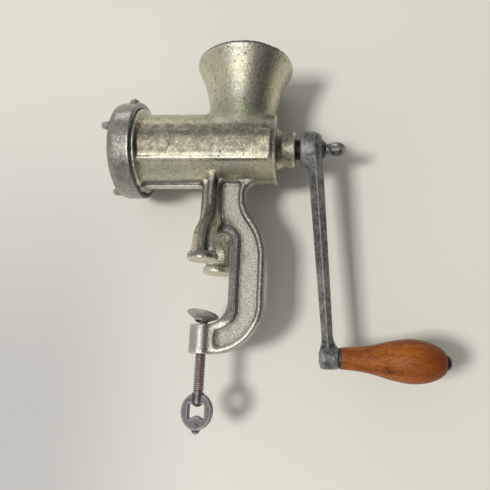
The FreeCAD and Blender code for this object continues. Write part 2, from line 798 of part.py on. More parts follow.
# the arm widens into the pivot boss
flare_middle = f"{ARM_FOOT} + (dims.arm_upper_place - {ARM_FOOT}) * dims.arm_flare / dims.crank_length"
flare_foot = "dims.pivot_radius * 0.7"
flare = straight_loft("arm_flare", [
    arm_section("flare_top", flare_middle, f"{PIVOT_HEIGHT} + dims.arm_flare", "dims.arm_lower_width",
                "dims.arm_lower_depth"),
    arm_section("flare_foot", "dims.pivot_place + dims.pivot_length / 2", f"{PIVOT_HEIGHT} + {flare_foot}",
                "(dims.pivot_length - dims.pivot_edge)", f"(2 * {flare_foot})"),
])
hub = place(turned("hub", [
    (HUB_START, "0"), (HUB_START, "dims.hub_radius - dims.hub_edge"),
    (f"{HUB_START} + dims.hub_edge", "dims.hub_radius"), (f"{HUB_END} - dims.hub_dome", "dims.hub_radius"),
    (f"{HUB_END} - dims.hub_dome * 0.3", "dims.hub_radius - dims.hub_drop * 0.4"),
    (HUB_END, "dims.hub_radius - dims.hub_drop"), (HUB_END, "0")]), ON_AXIS)
pivot_eased = "dims.pivot_radius - dims.pivot_edge"
pivot_boss = place(turned("pivot_boss", [
    ("dims.pivot_place", "0"), ("dims.pivot_place", pivot_eased),
    ("dims.pivot_place + dims.pivot_edge", "dims.pivot_radius"),
    (f"{PIVOT_END} - dims.pivot_edge", "dims.pivot_radius"), (PIVOT_END, pivot_eased),
    (PIVOT_END, "0")]), AT_PIVOT)
crank_parts = [arm, flare, hub, pivot_boss]
hub_square = square_bar("hub_square", "dims.tenon_square + 2 * dims.running_clearance",
                        f"{HUB_START} - dims.cut_past", f"{HUB_END} + dims.cut_past")
hub_square.setExpression("Placement.Base.z",
                         "dims.axis_height - dims.tenon_square / 2 - dims.running_clearance")
crank_spaces = [
    hub_square,
    rod("rivet_hole", "dims.rivet_radius", "dims.pivot_place - dims.cut_past", f"{PIVOT_END} + dims.cut_past",
        ALONG_X, ("0", PIVOT_HEIGHT)),
    rod("collar_seat", "dims.collar_radius + dims.cut_past", HUB_END, f"{HUB_END} + dims.collar_length",
        ALONG_X, ("0", "dims.axis_height")),
]
finish(cut("crank", fuse("crank_solid", crank_parts), crank_spaces), "crank_arm")

COLLAR_START = f"({HUB_END} + dims.face_gap)"
COLLAR_END = f"({COLLAR_START} + dims.collar_length)"
collar_bore = "dims.crank_screw_radius + dims.running_clearance"
finish(turned("collar", [
    (COLLAR_START, collar_bore), (COLLAR_START, "dims.collar_radius"),
    (f"{COLLAR_START} + dims.collar_length * 0.3", "dims.collar_radius"),
    (COLLAR_END, "dims.collar_nose_radius"), (COLLAR_END, collar_bore)]), "crank_screw_collar", ON_AXIS)

NECK_START = f"({COLLAR_END} + dims.face_gap)"
NECK_END = f"({NECK_START} + dims.screw_neck_length)"
eye_turn = FreeCAD.Rotation(FreeCAD.Vector(1, 0, 0), -size("screw_eye_turn"))
screw_parts = [
    rod("screw_shank", "dims.crank_screw_radius", f"{HUB_END} - dims.crank_screw_depth",
        f"{NECK_START} + dims.sink"),
    rod("screw_neck", "dims.screw_neck_radius", NECK_START, f"{NECK_END} + dims.screw_eye_wire * 0.4"),
    primitive("Torus", "screw_ring", {"Radius1": "dims.screw_eye_radius", "Radius2": "dims.screw_eye_wire"},
              (f"{NECK_END} + dims.screw_eye_radius", "0", "0"), eye_turn),
]
finish(fuse("crank_screw_solid", screw_parts), "crank_screw", ON_AXIS)

# grip

grip_stations = [
    ("0", "dims.grip_end_radius"),
    ("dims.grip_length * 0.08", "dims.grip_end_radius * 1.02"),
    ("dims.grip_length * 0.28", "dims.grip_throat_radius"),
    ("dims.grip_length * 0.5", "dims.grip_throat_radius * 0.3 + dims.grip_swell_radius * 0.7"),
    ("dims.grip_length * 0.7", "dims.grip_swell_radius"),
    ("dims.grip_length * 0.86", "dims.grip_swell_radius * 0.87"),
    ("dims.grip_length * 0.95", "dims.grip_swell_radius * 0.67"),
    ("dims.grip_length", "dims.grip_tip_radius"),
]
grip_rings = [primitive("Circle", f"grip_ring_{index + 1}", {"Radius": radius},
                        (f"{GRIP_START} + {along}", "0", "0"), ALONG_X)
              for index, (along, radius) in enumerate(grip_stations)]
grip_loft = doc.addObject("Part::Loft", "grip_loft")
grip_loft.Sections = grip_rings
grip_loft.Solid = True
grip_bore = rod("grip_bore", "dims.rivet_radius + dims.running_clearance", f"{GRIP_START} - dims.cut_past",
                f"{GRIP_END} + dims.cut_past")
finish(cut("grip_solid", grip_loft, [grip_bore]), "grip", AT_PIVOT)

RIVET_SEAT = f"({GRIP_END} + dims.face_gap)"
rivet_spread = "dims.rivet_radius * 1.3"
rivet_outline = [
    ("dims.pivot_place - dims.rivet_tail", "0"),
    ("dims.pivot_place - dims.rivet_tail", "dims.rivet_radius * 0.9"),
    ("dims.pivot_place - dims.rivet_tail / 2", rivet_spread),
    ("dims.pivot_place", rivet_spread),
    ("dims.pivot_place", "dims.rivet_radius"),
    (RIVET_SEAT, "dims.rivet_radius"),
    (RIVET_SEAT, "dims.rivet_head_radius"),
    (f"{RIVET_SEAT} + dims.rivet_head_height * 0.4", "dims.rivet_head_radius * 0.92"),
    (f"{RIVET_SEAT} + dims.rivet_head_height * 0.75", "dims.rivet_head_radius * 0.66"),
    (f"{RIVET_SEAT} + dims.rivet_head_height", "dims.rivet_head_radius * 0.2"),
    (f"{RIVET_SEAT} + dims.rivet_head_height", "0"),
]
finish(turned("rivet", rivet_outline), "grip_rivet", AT_PIVOT)

grip_washer = flat_body("grip_washer_body", "dims.grip_washer_thickness", lambda sketch: draw_washer(
    sketch, "dims.grip_washer_radius", "dims.rivet_radius + dims.running_clearance"))
finish(grip_washer, "grip_washer", (PIVOT_END, "0", PIVOT_HEIGHT))

# clamp

PAD_BOTTOM = "(dims.boss_top + dims.pad_lift)"
pad_shift = "sin(dims.pad_tilt) * dims.pad_height"
pad_rise = "sin(dims.pad_tilt) * dims.pad_neck_radius"
socket_radius = "dims.tip_radius + dims.socket_play"
# the tilted pad rests on the edge of the screw's tip
socket_depth = (f"cos(dims.pad_tilt) * (dims.tip_length + dims.face_gap - {pad_rise}"
                f" + tan(dims.pad_tilt) * (dims.tip_radius + {pad_shift}))")
pad = turned("pad", [
    (socket_radius, "0"), ("dims.pad_neck_radius", "0"),
    ("dims.pad_neck_radius * 1.06", "dims.pad_height * 0.2"),
    ("dims.pad_radius * 0.74", "dims.pad_height * 0.5"),
    ("dims.pad_radius", "dims.pad_height - dims.pad_rim"),
    ("dims.pad_radius", "dims.pad_height - dims.edge_break"),
    ("dims.pad_radius - dims.edge_break", "dims.pad_height"),
    ("0", "dims.pad_height"), ("0", socket_depth), (socket_radius, socket_depth)], FreeCAD.Vector(0, 0, 1))
tilt = FreeCAD.Rotation(FreeCAD.Vector(0, 1, 0), size("pad_tilt"))
turn = FreeCAD.Rotation(FreeCAD.Vector(0, 0, 1), size("pad_turn"))
pad.Placement = FreeCAD.Placement(FreeCAD.Vector(), turn * tilt)
finish(pad, "clamp_pad", (f"-{pad_shift} * cos(dims.pad_turn)", f"-{pad_shift} * sin(dims.pad_turn)",
                          f"{PAD_BOTTOM} + {pad_rise}"))

# the rod's shoulder stops below the pad and its plain tip stands in the pad's socket
ROD_TOP = "(dims.boss_top - dims.rod_drop)"
ROD_BOTTOM = "(dims.eye_place + dims.eye_hole_height / 2 + dims.rod_seat)"
THREAD_BOTTOM = "(dims.eye_place + dims.eye_half_height + dims.thread_pitch)"
thread_spine = primitive("Helix", "thread_spine",
                         {"Pitch": "dims.thread_pitch",
                          "Height": f"{ROD_TOP} - {THREAD_BOTTOM} - dims.thread_pitch",
                          "Radius": "dims.screw_core_radius"})
thread_root = "dims.screw_core_radius * 0.94"
thread_foot = "dims.thread_pitch * 0.45"
thread_crest = "dims.thread_pitch * 0.07"
thread_profile = draw_outline(free_sketch("thread_profile"), [
    (thread_root, f"-{thread_foot}"), ("dims.thread_radius", f"-{thread_crest}"),
    ("dims.thread_radius", thread_crest), (thread_root, thread_foot)])
thread = doc.addObject("Part::Sweep", "thread")
thread.Sections = [thread_profile]
thread.Spine = (thread_spine, [])
thread.Solid = True
thread.Frenet = True
place(thread, ("0", "0", THREAD_BOTTOM))
rod_parts = [
    rod("rod_core", "dims.screw_core_radius", ROD_BOTTOM, ROD_TOP, ALONG_Z),
    rod("rod_tip", "dims.tip_radius", f"{ROD_TOP} - dims.cut_past", f"{PAD_BOTTOM} + dims.tip_length",
        ALONG_Z),
    thread,
]
finish(fuse("clamp_rod", rod_parts), "clamp_screw")


def eye_slab():
    """A flat oval bar in the XZ plane, taller than it is wide, with a rectangular hole."""
    stretch = FreeCAD.Matrix()
    stretch.scale(size("eye_half_width"), 1, size("eye_half_height"))
    oval_edge = Part.makeCircle(1, FreeCAD.Vector(), FreeCAD.Vector(0, 1, 0)).transformGeometry(stretch)
    thickness = size("eye_thickness")
    bar = slab(Part.Wire([oval_edge]), -thickness / 2, thickness / 2)
    width = size("eye_hole_width")
    height = size("eye_hole_height")
    past = thickness / 2 + size("cut_past")
    window = Part.makeBox(width, 2 * past, height, FreeCAD.Vector(-width / 2, -past, -height / 2))
    return bar.cut(window)


# the rod's end swells into the hole from above, and a bump faces it from below
bump_height = "dims.eye_bump_rise - dims.eye_hole_height / 2 - dims.eye_bump_radius"
rod_end = "dims.eye_hole_height / 2 + dims.eye_boss_radius - dims.eye_boss_reach"
eye_parts = [
    shaped("eye_bar", eye_slab()),
    primitive("Sphere", "eye_rod_end", {"Radius": "dims.eye_boss_radius"}, ("0", "0", rod_end)),
    rod("eye_sleeve", "dims.eye_boss_radius", rod_end, "dims.eye_half_height + dims.eye_boss_rise", ALONG_Z),
    primitive("Cylinder", "eye_bump",
              {"Radius": "dims.eye_bump_radius", "Height": "dims.eye_thickness"},
              ("0", "-dims.eye_thickness / 2", bump_height), ALONG_Y),
    primitive("Cylinder", "eye_nub", {"Radius": "dims.eye_nub_radius", "Height": "dims.eye_thickness * 0.8"},
              ("0", "-dims.eye_thickness * 0.4", "-dims.eye_half_height"), ALONG_Y),
]
eye_hole = rod("eye_hole", "dims.screw_core_radius", f"{ROD_BOTTOM} - dims.eye_place",
               "dims.eye_half_height + dims.eye_boss_radius", ALONG_Z)
finish(cut("eye", fuse("eye_solid", eye_parts), [eye_hole]), "clamp_eye", ("0", "0", "dims.eye_place"))

doc.recompute()

# every object sound, every sub-part one valid solid, then one file each
for item in doc.Objects:
    if "Invalid" in item.State or "Error" in item.State:
        raise RuntimeError(f"{item.Name} did not recompute: {item.State}")
for item in finished:
    if item.Shape.isNull() or not item.Shape.isValid():
        raise RuntimeError(f"{item.Label} has no valid shape")
    if len(item.Shape.Solids) != 1:
        raise RuntimeError(f"{item.Label} has {len(item.Shape.Solids)} solids")
os.makedirs("parts", exist_ok=True)
for item in finished:
    item.Shape.exportStep(f"parts/{item.Label}.step")
    box = item.Shape.BoundBox
    print(f"{item.Label}: volume {item.Shape.Volume:.0f}, x {box.XMin:.1f} to {box.XMax:.1f}, "
          f"y {box.YMin:.1f} to {box.YMax:.1f}, z {box.ZMin:.1f} to {box.ZMax:.1f}")
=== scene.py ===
# %% [markdown]
# # A hand crank meat grinder, dressed for its picture
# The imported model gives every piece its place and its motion. This lesson keeps that frame and gives it
# looks: a cast and tinned housing with soft edges, a worn ring nut, a dark crank, rusty screws and a
# varnished grip. Everything is in metres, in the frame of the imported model, so no piece needs to be fitted
# by eye.

# %% Load the frame
import math

import bmesh
import bpy
import numpy as np
from mathutils import Matrix, Vector


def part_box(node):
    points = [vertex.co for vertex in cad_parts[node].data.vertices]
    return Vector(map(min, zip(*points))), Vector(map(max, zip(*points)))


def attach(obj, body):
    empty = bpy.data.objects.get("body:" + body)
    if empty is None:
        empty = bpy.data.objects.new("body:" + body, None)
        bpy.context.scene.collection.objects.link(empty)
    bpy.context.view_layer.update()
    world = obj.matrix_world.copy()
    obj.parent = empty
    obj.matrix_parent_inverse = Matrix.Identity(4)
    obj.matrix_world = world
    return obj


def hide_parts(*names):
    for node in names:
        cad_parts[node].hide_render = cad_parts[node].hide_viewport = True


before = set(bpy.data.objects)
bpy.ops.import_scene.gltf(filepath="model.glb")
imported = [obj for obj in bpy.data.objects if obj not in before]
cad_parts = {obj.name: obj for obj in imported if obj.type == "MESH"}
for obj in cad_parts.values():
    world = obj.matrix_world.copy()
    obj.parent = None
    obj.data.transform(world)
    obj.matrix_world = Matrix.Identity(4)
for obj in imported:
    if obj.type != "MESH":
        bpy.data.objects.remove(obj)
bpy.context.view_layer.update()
MM = 0.001

# %% [markdown]
# ## Writing materials as short recipes
# Every finish here is a small node tree. Placing nodes by hand in the editor works too, but a helper that
# makes a node and fills its sockets in one call keeps a recipe readable: a socket takes a number, a colour
# or the output of another node.

# %% Helpers for node trees
def node(tree, kind, values=None, **settings):
    made = tree.nodes.new(kind)
    for name, setting in settings.items():
        setattr(made, name, setting)
    for key, value in (values or {}).items():
        socket = made.inputs[key]
        if isinstance(value, bpy.types.NodeSocket):
            tree.links.new(value, socket)
        else:
            socket.default_value = value
    return made


def math_node(tree, operation, first, second=0.0):
    return node(tree, "ShaderNodeMath", {0: first, 1: second}, operation=operation).outputs[0]


def plus(tree, first, second):
    return math_node(tree, "ADD", first, second)


def minus(tree, first, second):
    return math_node(tree, "SUBTRACT", first, second)


def times(tree, first, second):
    return math_node(tree, "MULTIPLY", first, second)


def span(tree, value, low, high, to_low=0.0, to_high=1.0):
    """Carries a value from one range to another, easing at both ends."""
    values = {"Value": value, "From Min": low, "From Max": high, "To Min": to_low, "To Max": to_high}
    return node(tree, "ShaderNodeMapRange", values, interpolation_type="SMOOTHSTEP").outputs[0]


def mix(tree, amount, first, second):
    return node(tree, "ShaderNodeMix", {0: amount, 6: first, 7: second}, data_type="RGBA").outputs[2]


def tint(tree, colour, where, other, share):
    """Lays another colour over a colour where a mask says so, at most by share."""
    return mix(tree, times(tree, where, share), colour, other)


def rgb(red, green, blue):
    return (red, green, blue, 1.0)


def noise(tree, coords, scale, detail=2.0, roughness=0.5, distortion=0.0):
    values = {"Vector": coords, "Scale": scale, "Detail": detail}
    values.update({"Roughness": roughness, "Distortion": distortion})
    return node(tree, "ShaderNodeTexNoise", values).outputs[0]


def stretched(tree, coords, scale, turn=(0.0, 0.0, 0.0)):
    """Coordinates for a noise that is squeezed by its own scale along each axis."""
    values = {"Vector": coords, "Rotation": turn, "Scale": scale}
    return node(tree, "ShaderNodeMapping", values).outputs[0]


def spots(tree, coords, scale, size):
    """Small round spots scattered at random, 1 inside and 0 outside."""
    values = {"Vector": coords, "Scale": scale, "Randomness": 1.0}
    distance = node(tree, "ShaderNodeTexVoronoi", values).outputs["Distance"]
    return span(tree, distance, size, size * 0.55)


def marked(tree, name):
    return node(tree, "ShaderNodeAttribute", attribute_name=name).outputs["Fac"]


def from_axis(tree, coords):
    """How far a place lies from the Z axis, which is the axis of the clamp screw."""
    values = {0: coords, 1: (1.0, 1.0, 0.0)}
    flat = node(tree, "ShaderNodeVectorMath", values, operation="MULTIPLY").outputs[0]
    return node(tree, "ShaderNodeVectorMath", {0: flat}, operation="LENGTH").outputs["Value"]


def begin_finish(name):
    """A new material: its tree, its object coordinates, and its shader."""
    finish = bpy.data.materials.new(name)
    finish.use_nodes = True
    tree = finish.node_tree
    shader = tree.nodes["Principled BSDF"]
    coords = node(tree, "ShaderNodeTexCoord").outputs["Object"]
    return finish, tree, coords, shader


def join_finish(tree, shader, colour, roughness, height, strength, depth):
    tree.links.new(colour, shader.inputs["Base Color"])
    tree.links.new(roughness, shader.inputs["Roughness"])
    bump = node(tree, "ShaderNodeBump", {"Strength": strength, "Distance": depth, "Height": height})
    tree.links.new(bump.outputs["Normal"], shader.inputs["Normal"])


print("helpers ready")

# %% [markdown]
# ## Tinned cast iron
# The housing was cast in sand and dipped in tin. The skin sparkles in small grains, the hollows keep a tan
# stain that is darkened further as painted shade, the top of the barrel has gone a little green, the raised
# panel is sooty, and black pits show where the tin is gone. Noise at three sizes makes the skin, and two
# marks that are measured on the mesh later, edge and hollow, say where ridges are rubbed bright with a
# painted highlight and where dirt and painted shade sit. Below the barrel the bands, the front rib and the
# side of the front foot are painted almost black as painted shade and dark reflection. The web between the
# bands is painted near white as painted light and keeps the coarse grain of its mould, and the hopper's rim
# carries a thin painted shadow. The feed screw wears the same tin, but its journal is black.

# %% Places and colours of the tin
AXIS_HEIGHT = 103.2 * MM
RIM_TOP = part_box("housing")[1][2]
FOOT_PLACE = 3 * MM
JOURNAL_START = 66 * MM

# each pair says where a region starts and where it is full
CROWN = (AXIS_HEIGHT + 10 * MM, AXIS_HEIGHT + 24 * MM)
UNDER_HOPPER = (AXIS_HEIGHT + 42 * MM, AXIS_HEIGHT + 28 * MM)
OVER_BEAD = (AXIS_HEIGHT - 16 * MM, AXIS_HEIGHT - 12 * MM)
UNDER_CROWN = (AXIS_HEIGHT + 14 * MM, AXIS_HEIGHT + 9 * MM)
HOPPER_RIM_SHADE = (RIM_TOP - 2.4 * MM, RIM_TOP - 1.2 * MM)
UNDER_BARREL = (76 * MM, 70 * MM)
WEB_EDGE = (4.6 * MM, 3.4 * MM)
BAND_EDGE = (9.5 * MM, 8.2 * MM)
RIB_EDGE = (4.6 * MM, 3.4 * MM)
FRONT_LEG = (-8 * MM, -9 * MM)
FRONT_FOOT = (-12 * MM, -15 * MM)
FOOT_TOP = (7 * MM, 6 * MM)
FOOT_SOLE = (1.6 * MM, 0.7 * MM)
LOWER_BOSS = (-42 * MM, -47 * MM)

WEB_GRAIN = (680.0, 680.0, 1250.0)
WEB_SLANT = (0.0, math.radians(38), 0.0)

TIN_WARM = rgb(0.69, 0.63, 0.46)
TIN_COOL = rgb(0.56, 0.545, 0.46)
TIN_DULL = rgb(0.30, 0.28, 0.22)
TIN_GREEN = rgb(0.34, 0.375, 0.265)
TIN_SOOT = rgb(0.165, 0.152, 0.114)
TIN_BRIGHT = rgb(0.86, 0.82, 0.70)
TIN_SPECK = rgb(0.12, 0.10, 0.065)
# painted shade and dark reflection for the bands, rib and foot side below the barrel
TIN_PAINTED_SHADE = rgb(0.075, 0.079, 0.082)
TIN_BOSS = rgb(0.45, 0.455, 0.44)
TIN_WEB_PAINTED_LIGHT = rgb(0.97, 0.93, 0.83)
TIN_LOW_GRAIN = rgb(0.42, 0.39, 0.33)
TIN_STAIN_AND_SHADE = rgb(0.17, 0.145, 0.095)
TIN_EDGE = rgb(0.93, 0.90, 0.80)
TIN_PIT = rgb(0.035, 0.032, 0.028)
TIN_RIM_SHADE = rgb(0.07, 0.07, 0.065)
TIN_GREASE = rgb(0.022, 0.020, 0.019)


# %% The tinned finish
def tinned_iron(name, oiled_from=None):
    """The tinned skin; a journal that starts at oiled_from along the barrel is dark with old grease."""
    finish, tree, coords, shader = begin_finish(name)
    place = node(tree, "ShaderNodeSeparateXYZ", {0: coords}).outputs
    cloud = noise(tree, coords, scale=38.0, detail=3.0, roughness=0.6)
    blotch = noise(tree, coords, scale=170.0, detail=4.0, roughness=0.62)
    grain = noise(tree, coords, scale=720.0, detail=3.0, roughness=0.7)
    specks = noise(tree, coords, scale=540.0)
    edge = marked(tree, "edge")
    hollow = marked(tree, "hollow")
    # the whole skin, with its green crown and its sooty panel
    colour = mix(tree, span(tree, cloud, 0.35, 0.65), TIN_WARM, TIN_COOL)
    colour = mix(tree, span(tree, blotch, 0.46, 0.72, to_high=0.3), colour, TIN_DULL)
    crown = times(tree, span(tree, place[2], *CROWN), span(tree, place[2], *UNDER_HOPPER))
    colour = tint(tree, colour, crown, TIN_GREEN, share=0.7)
    panel = times(tree, span(tree, place[2], *OVER_BEAD), span(tree, place[2], *UNDER_CROWN))
    sooty = times(tree, panel, span(tree, blotch, 0.35, 0.62, to_low=0.6, to_high=0.92))
    colour = mix(tree, sooty, colour, TIN_SOOT)
    clean = minus(tree, 1.0, times(tree, sooty, 0.6))
    bright_grain = times(tree, clean, span(tree, grain, 0.45, 0.75, to_high=0.6))
    colour = mix(tree, bright_grain, colour, TIN_BRIGHT)
    colour = mix(tree, span(tree, specks, 0.60, 0.70, to_high=0.8), colour, TIN_SPECK)
    # below the barrel: web, bands, rib, foot and boss
    below = span(tree, place[2], *UNDER_BARREL)
    across = math_node(tree, "ABSOLUTE", place[1])
    web = times(tree, span(tree, across, *WEB_EDGE), below)
    band = span(tree, across, *BAND_EDGE)
    from_rib = math_node(tree, "ABSOLUTE", minus(tree, place[0], FOOT_PLACE))
    rib = times(tree, span(tree, from_rib, *RIB_EDGE), span(tree, place[1], *FRONT_LEG))
    at_foot = span(tree, place[1], *FRONT_FOOT)
    foot_side = times(tree, at_foot, span(tree, place[2], *FOOT_TOP))
    sole = times(tree, at_foot, span(tree, place[2], *FOOT_SOLE))
    boss = span(tree, place[2], *LOWER_BOSS)
    # the bands, the front rib and the side of the front foot are painted almost black: painted shade and dark
    # reflection
    painted_dark_sides = math_node(tree, "MAXIMUM", math_node(tree, "MAXIMUM", band, rib), foot_side)
    painted_dark_sides = times(tree, painted_dark_sides, minus(tree, below, web))
    for kept in (sole, boss):
        painted_dark_sides = times(tree, painted_dark_sides, minus(tree, 1.0, kept))
    colour = tint(tree, colour, painted_dark_sides, TIN_PAINTED_SHADE, share=0.92)
    colour = tint(tree, colour, boss, TIN_BOSS, share=0.75)
    # painted light: the flat web is painted near white, as bright as its face looks in the light
    colour = tint(tree, colour, web, TIN_WEB_PAINTED_LIGHT, share=0.85)
    moulded = noise(tree, stretched(tree, coords, WEB_GRAIN, WEB_SLANT), scale=1.0, detail=1.0)
    low_grain = times(tree, span(tree, moulded, 0.56, 0.36, to_high=0.8), web)
    colour = mix(tree, low_grain, colour, TIN_LOW_GRAIN)
    # dirt, wear and grease over all of it, with painted shade in the hollows, painted highlights on ridges
    # and a painted shadow under the hopper's lip
    # a tan stain in the hollows, darkened further as painted shade
    stain_and_shade = times(tree, hollow, span(tree, blotch, 0.25, 0.6, to_low=0.55))
    colour = mix(tree, stain_and_shade, colour, TIN_STAIN_AND_SHADE)
    # ridges rubbed bright, with a painted highlight along them
    colour = tint(tree, colour, edge, TIN_EDGE, share=0.85)
    pits = times(tree, spots(tree, coords, scale=230.0, size=0.2), span(tree, blotch, 0.57, 0.66))
    colour = mix(tree, pits, colour, TIN_PIT)
    # a thin painted shadow along the top of the hopper's rim, where the lip is in shade
    colour = mix(tree, span(tree, place[2], *HOPPER_RIM_SHADE, to_high=0.9), colour, TIN_RIM_SHADE)
    if oiled_from:
        colour = mix(tree, span(tree, place[0], oiled_from - 1 * MM, oiled_from), colour, TIN_GREASE)
    roughness = span(tree, blotch, 0.3, 0.75, to_low=0.20, to_high=0.36)
    roughness = plus(tree, roughness, times(tree, web, 0.12))
    roughness = minus(tree, roughness, times(tree, edge, 0.06))
    roughness = minus(tree, roughness, times(tree, boss, 0.05))
    roughness = plus(tree, roughness, times(tree, pits, 0.4))
    height = plus(tree, times(tree, grain, 0.7), times(tree, blotch, 0.25))
    height = plus(tree, height, times(tree, times(tree, moulded, web), 5.0))
    height = minus(tree, height, pits)
    # the web's grain is dull enough to take light from every side
    tree.links.new(minus(tree, 1.0, times(tree, web, 0.65)), shader.inputs["Metallic"])
    join_finish(tree, shader, colour, roughness, height, strength=0.8, depth=0.6 * MM)
    return finish


TINNED = tinned_iron("tinned_iron")
OILED = tinned_iron("tinned_and_oiled", JOURNAL_START)
print("made", TINNED.name, OILED.name)

# %% [markdown]
# ## Bare and dark iron
# The ring nut lost its tin to the hand that turns it, the crank is plain dark iron with a mottled skin, and
# the pad is iron worn pale at its rim. All three use one recipe with other colours: a ground, lighter
# flecks and rubbed edges that also carry a painted highlight, with dirt and painted shade in the hollows.

# %% The iron finishes
IRON_MOTTLE = rgb(0.045, 0.045, 0.042)
IRON_DIRT_AND_SHADE = rgb(0.05, 0.047, 0.042)
IRON_PIT = rgb(0.03, 0.028, 0.026)
IRON_OILED = rgb(0.25, 0.26, 0.30)
IRON_INSIDE = rgb(0.17, 0.155, 0.165)


def bare_iron(name, colours, gloss, metallic, mottle, relief, oiled_from=None, rim_from=None):
    """Iron without tin, in the colours of its ground, its flecks and its rubbed places.

    From oiled_from along X it is dark with old grease, and inside the radius rim_from it is darker than at
    its rim.
    """
    ground, fleck, rubbed = colours
    finish, tree, coords, shader = begin_finish(name)
    cloud = noise(tree, coords, scale=60.0, detail=3.0, roughness=0.6)
    blotch = noise(tree, coords, scale=260.0, detail=4.0, roughness=0.65)
    grain = noise(tree, coords, scale=560.0, detail=3.0, roughness=0.65)
    colour = mix(tree, span(tree, blotch, 0.30, 0.75), ground, fleck)
    colour = mix(tree, span(tree, grain, 0.52, 0.66, to_high=0.7), colour, rubbed)
    colour = mix(tree, span(tree, grain, 0.45, 0.36, to_high=mottle), colour, IRON_MOTTLE)
    colour = mix(tree, span(tree, cloud, 0.45, 0.66, to_high=0.5), colour, rubbed)
    # ridges rubbed bright, with a painted highlight along them
    colour = tint(tree, colour, marked(tree, "edge"), rubbed, share=0.75)
    # dirt in the hollows, darkened further as painted shade
    colour = tint(tree, colour, marked(tree, "hollow"), IRON_DIRT_AND_SHADE, share=0.8)
    pits = times(tree, spots(tree, coords, scale=300.0, size=0.22), span(tree, cloud, 0.54, 0.62))
    colour = mix(tree, pits, colour, IRON_PIT)
    if oiled_from:
        along = node(tree, "ShaderNodeSeparateXYZ", {0: coords}).outputs[0]
        colour = mix(tree, span(tree, along, oiled_from - 1 * MM, oiled_from), colour, IRON_OILED)
    if rim_from:
        inside = span(tree, from_axis(tree, coords), rim_from, rim_from - 3 * MM, to_high=0.45)
        colour = mix(tree, inside, colour, IRON_INSIDE)
    roughness = span(tree, blotch, 0.3, 0.7, *gloss)
    height = minus(tree, plus(tree, grain, times(tree, blotch, 0.6)), pits)
    shader.inputs["Metallic"].default_value = metallic
    join_finish(tree, shader, colour, roughness, height, relief, depth=0.5 * MM)
    return finish


RING_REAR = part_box("ring_nut")[1][0]
PAD_RIM = 11.2 * MM
WORN_COLOURS = (rgb(0.28, 0.276, 0.25), rgb(0.38, 0.372, 0.333), rgb(0.54, 0.52, 0.46))
DARK_COLOURS = (rgb(0.085, 0.088, 0.083), rgb(0.165, 0.165, 0.157), rgb(0.40, 0.40, 0.375))
DISHED_COLOURS = (rgb(0.32, 0.305, 0.28), rgb(0.45, 0.43, 0.39), rgb(0.60, 0.57, 0.51))
WORN = bare_iron("worn_iron", WORN_COLOURS, gloss=(0.16, 0.30), metallic=1.0, mottle=0.35, relief=0.3,
                 oiled_from=RING_REAR - 0.2 * MM)
DARK = bare_iron("dark_iron", DARK_COLOURS, gloss=(0.26, 0.42), metallic=0.55, mottle=0.75, relief=0.8)
DISHED = bare_iron("dished_iron", DISHED_COLOURS, gloss=(0.32, 0.48), metallic=0.5, mottle=0.5, relief=0.6,
                   rim_from=PAD_RIM)
print("made", WORN.name, DARK.name, DISHED.name)

# %% [markdown]
# ## Rusty, blued and ground steel
# The clamp screw is brown with thin rust, its eye and the small eye screw are a duller grey brown, the
# rivet is blue-black with one end hammered bare, and the plate and knife are ground steel. Rust is not a
# metal any more, so the metallic value falls where the rust is thick.

# %% The steel finishes
RUST_SPECK = rgb(0.06, 0.045, 0.04)
RUST_EDGE = rgb(0.56, 0.54, 0.53)
THREAD_DIRT = rgb(0.05, 0.03, 0.025)
THREAD_ROOT = 3.65 * MM
HAMMERED_GREY = rgb(0.30, 0.30, 0.285)
HAMMERED_TO = 96 * MM
STREAK_GRAIN = (180.0, 900.0, 900.0)


def rusty_steel(name, metal, rust, amount, groove=None):
    """Steel under thin rust; groove is the radius round the Z axis at which dirt fills a thread."""
    finish, tree, coords, shader = begin_finish(name)
    blotch = noise(tree, coords, scale=300.0, detail=4.0, roughness=0.65)
    grain = noise(tree, coords, scale=1100.0, roughness=0.6)
    crust = span(tree, blotch, 0.62 - 0.3 * amount, 0.78 - 0.3 * amount)
    colour = mix(tree, crust, metal, rust)
    colour = mix(tree, span(tree, grain, 0.45, 0.8, to_high=0.35), colour, RUST_SPECK)
    # ridges rubbed bright, with a painted highlight along them
    colour = tint(tree, colour, marked(tree, "edge"), RUST_EDGE, share=0.7)
    if groove:
        deep = span(tree, from_axis(tree, coords), groove + 0.5 * MM, groove, to_high=0.6)
        colour = mix(tree, deep, colour, THREAD_DIRT)
    tree.links.new(span(tree, crust, 0.0, 1.0, to_low=0.95, to_high=0.35), shader.inputs["Metallic"])
    roughness = span(tree, crust, 0.0, 1.0, to_low=0.36, to_high=0.68)
    join_finish(tree, shader, colour, roughness, plus(tree, grain, blotch), strength=0.35, depth=0.35 * MM)
    return finish


def plain_steel(name, light, dark, gloss, bare_to=None):
    """Steel with fine streaks; up to bare_to along X the hammer has left it bare and grey."""
    finish, tree, coords, shader = begin_finish(name)
    streaks = noise(tree, stretched(tree, coords, STREAK_GRAIN), scale=1.0, detail=3.0, roughness=0.6)
    blotch = noise(tree, coords, scale=210.0, detail=3.0, roughness=0.6)
    colour = mix(tree, span(tree, blotch, 0.35, 0.7), light, dark)
    colour = mix(tree, span(tree, streaks, 0.5, 0.8, to_high=0.4), colour, dark)
    if bare_to:
        along = node(tree, "ShaderNodeSeparateXYZ", {0: coords}).outputs[0]
        colour = mix(tree, span(tree, along, bare_to, bare_to - 1 * MM), colour, HAMMERED_GREY)
    roughness = span(tree, streaks, 0.3, 0.7, *gloss)
    shader.inputs["Metallic"].default_value = 1.0
    join_finish(tree, shader, colour, roughness, streaks, strength=0.2, depth=0.2 * MM)
    return finish


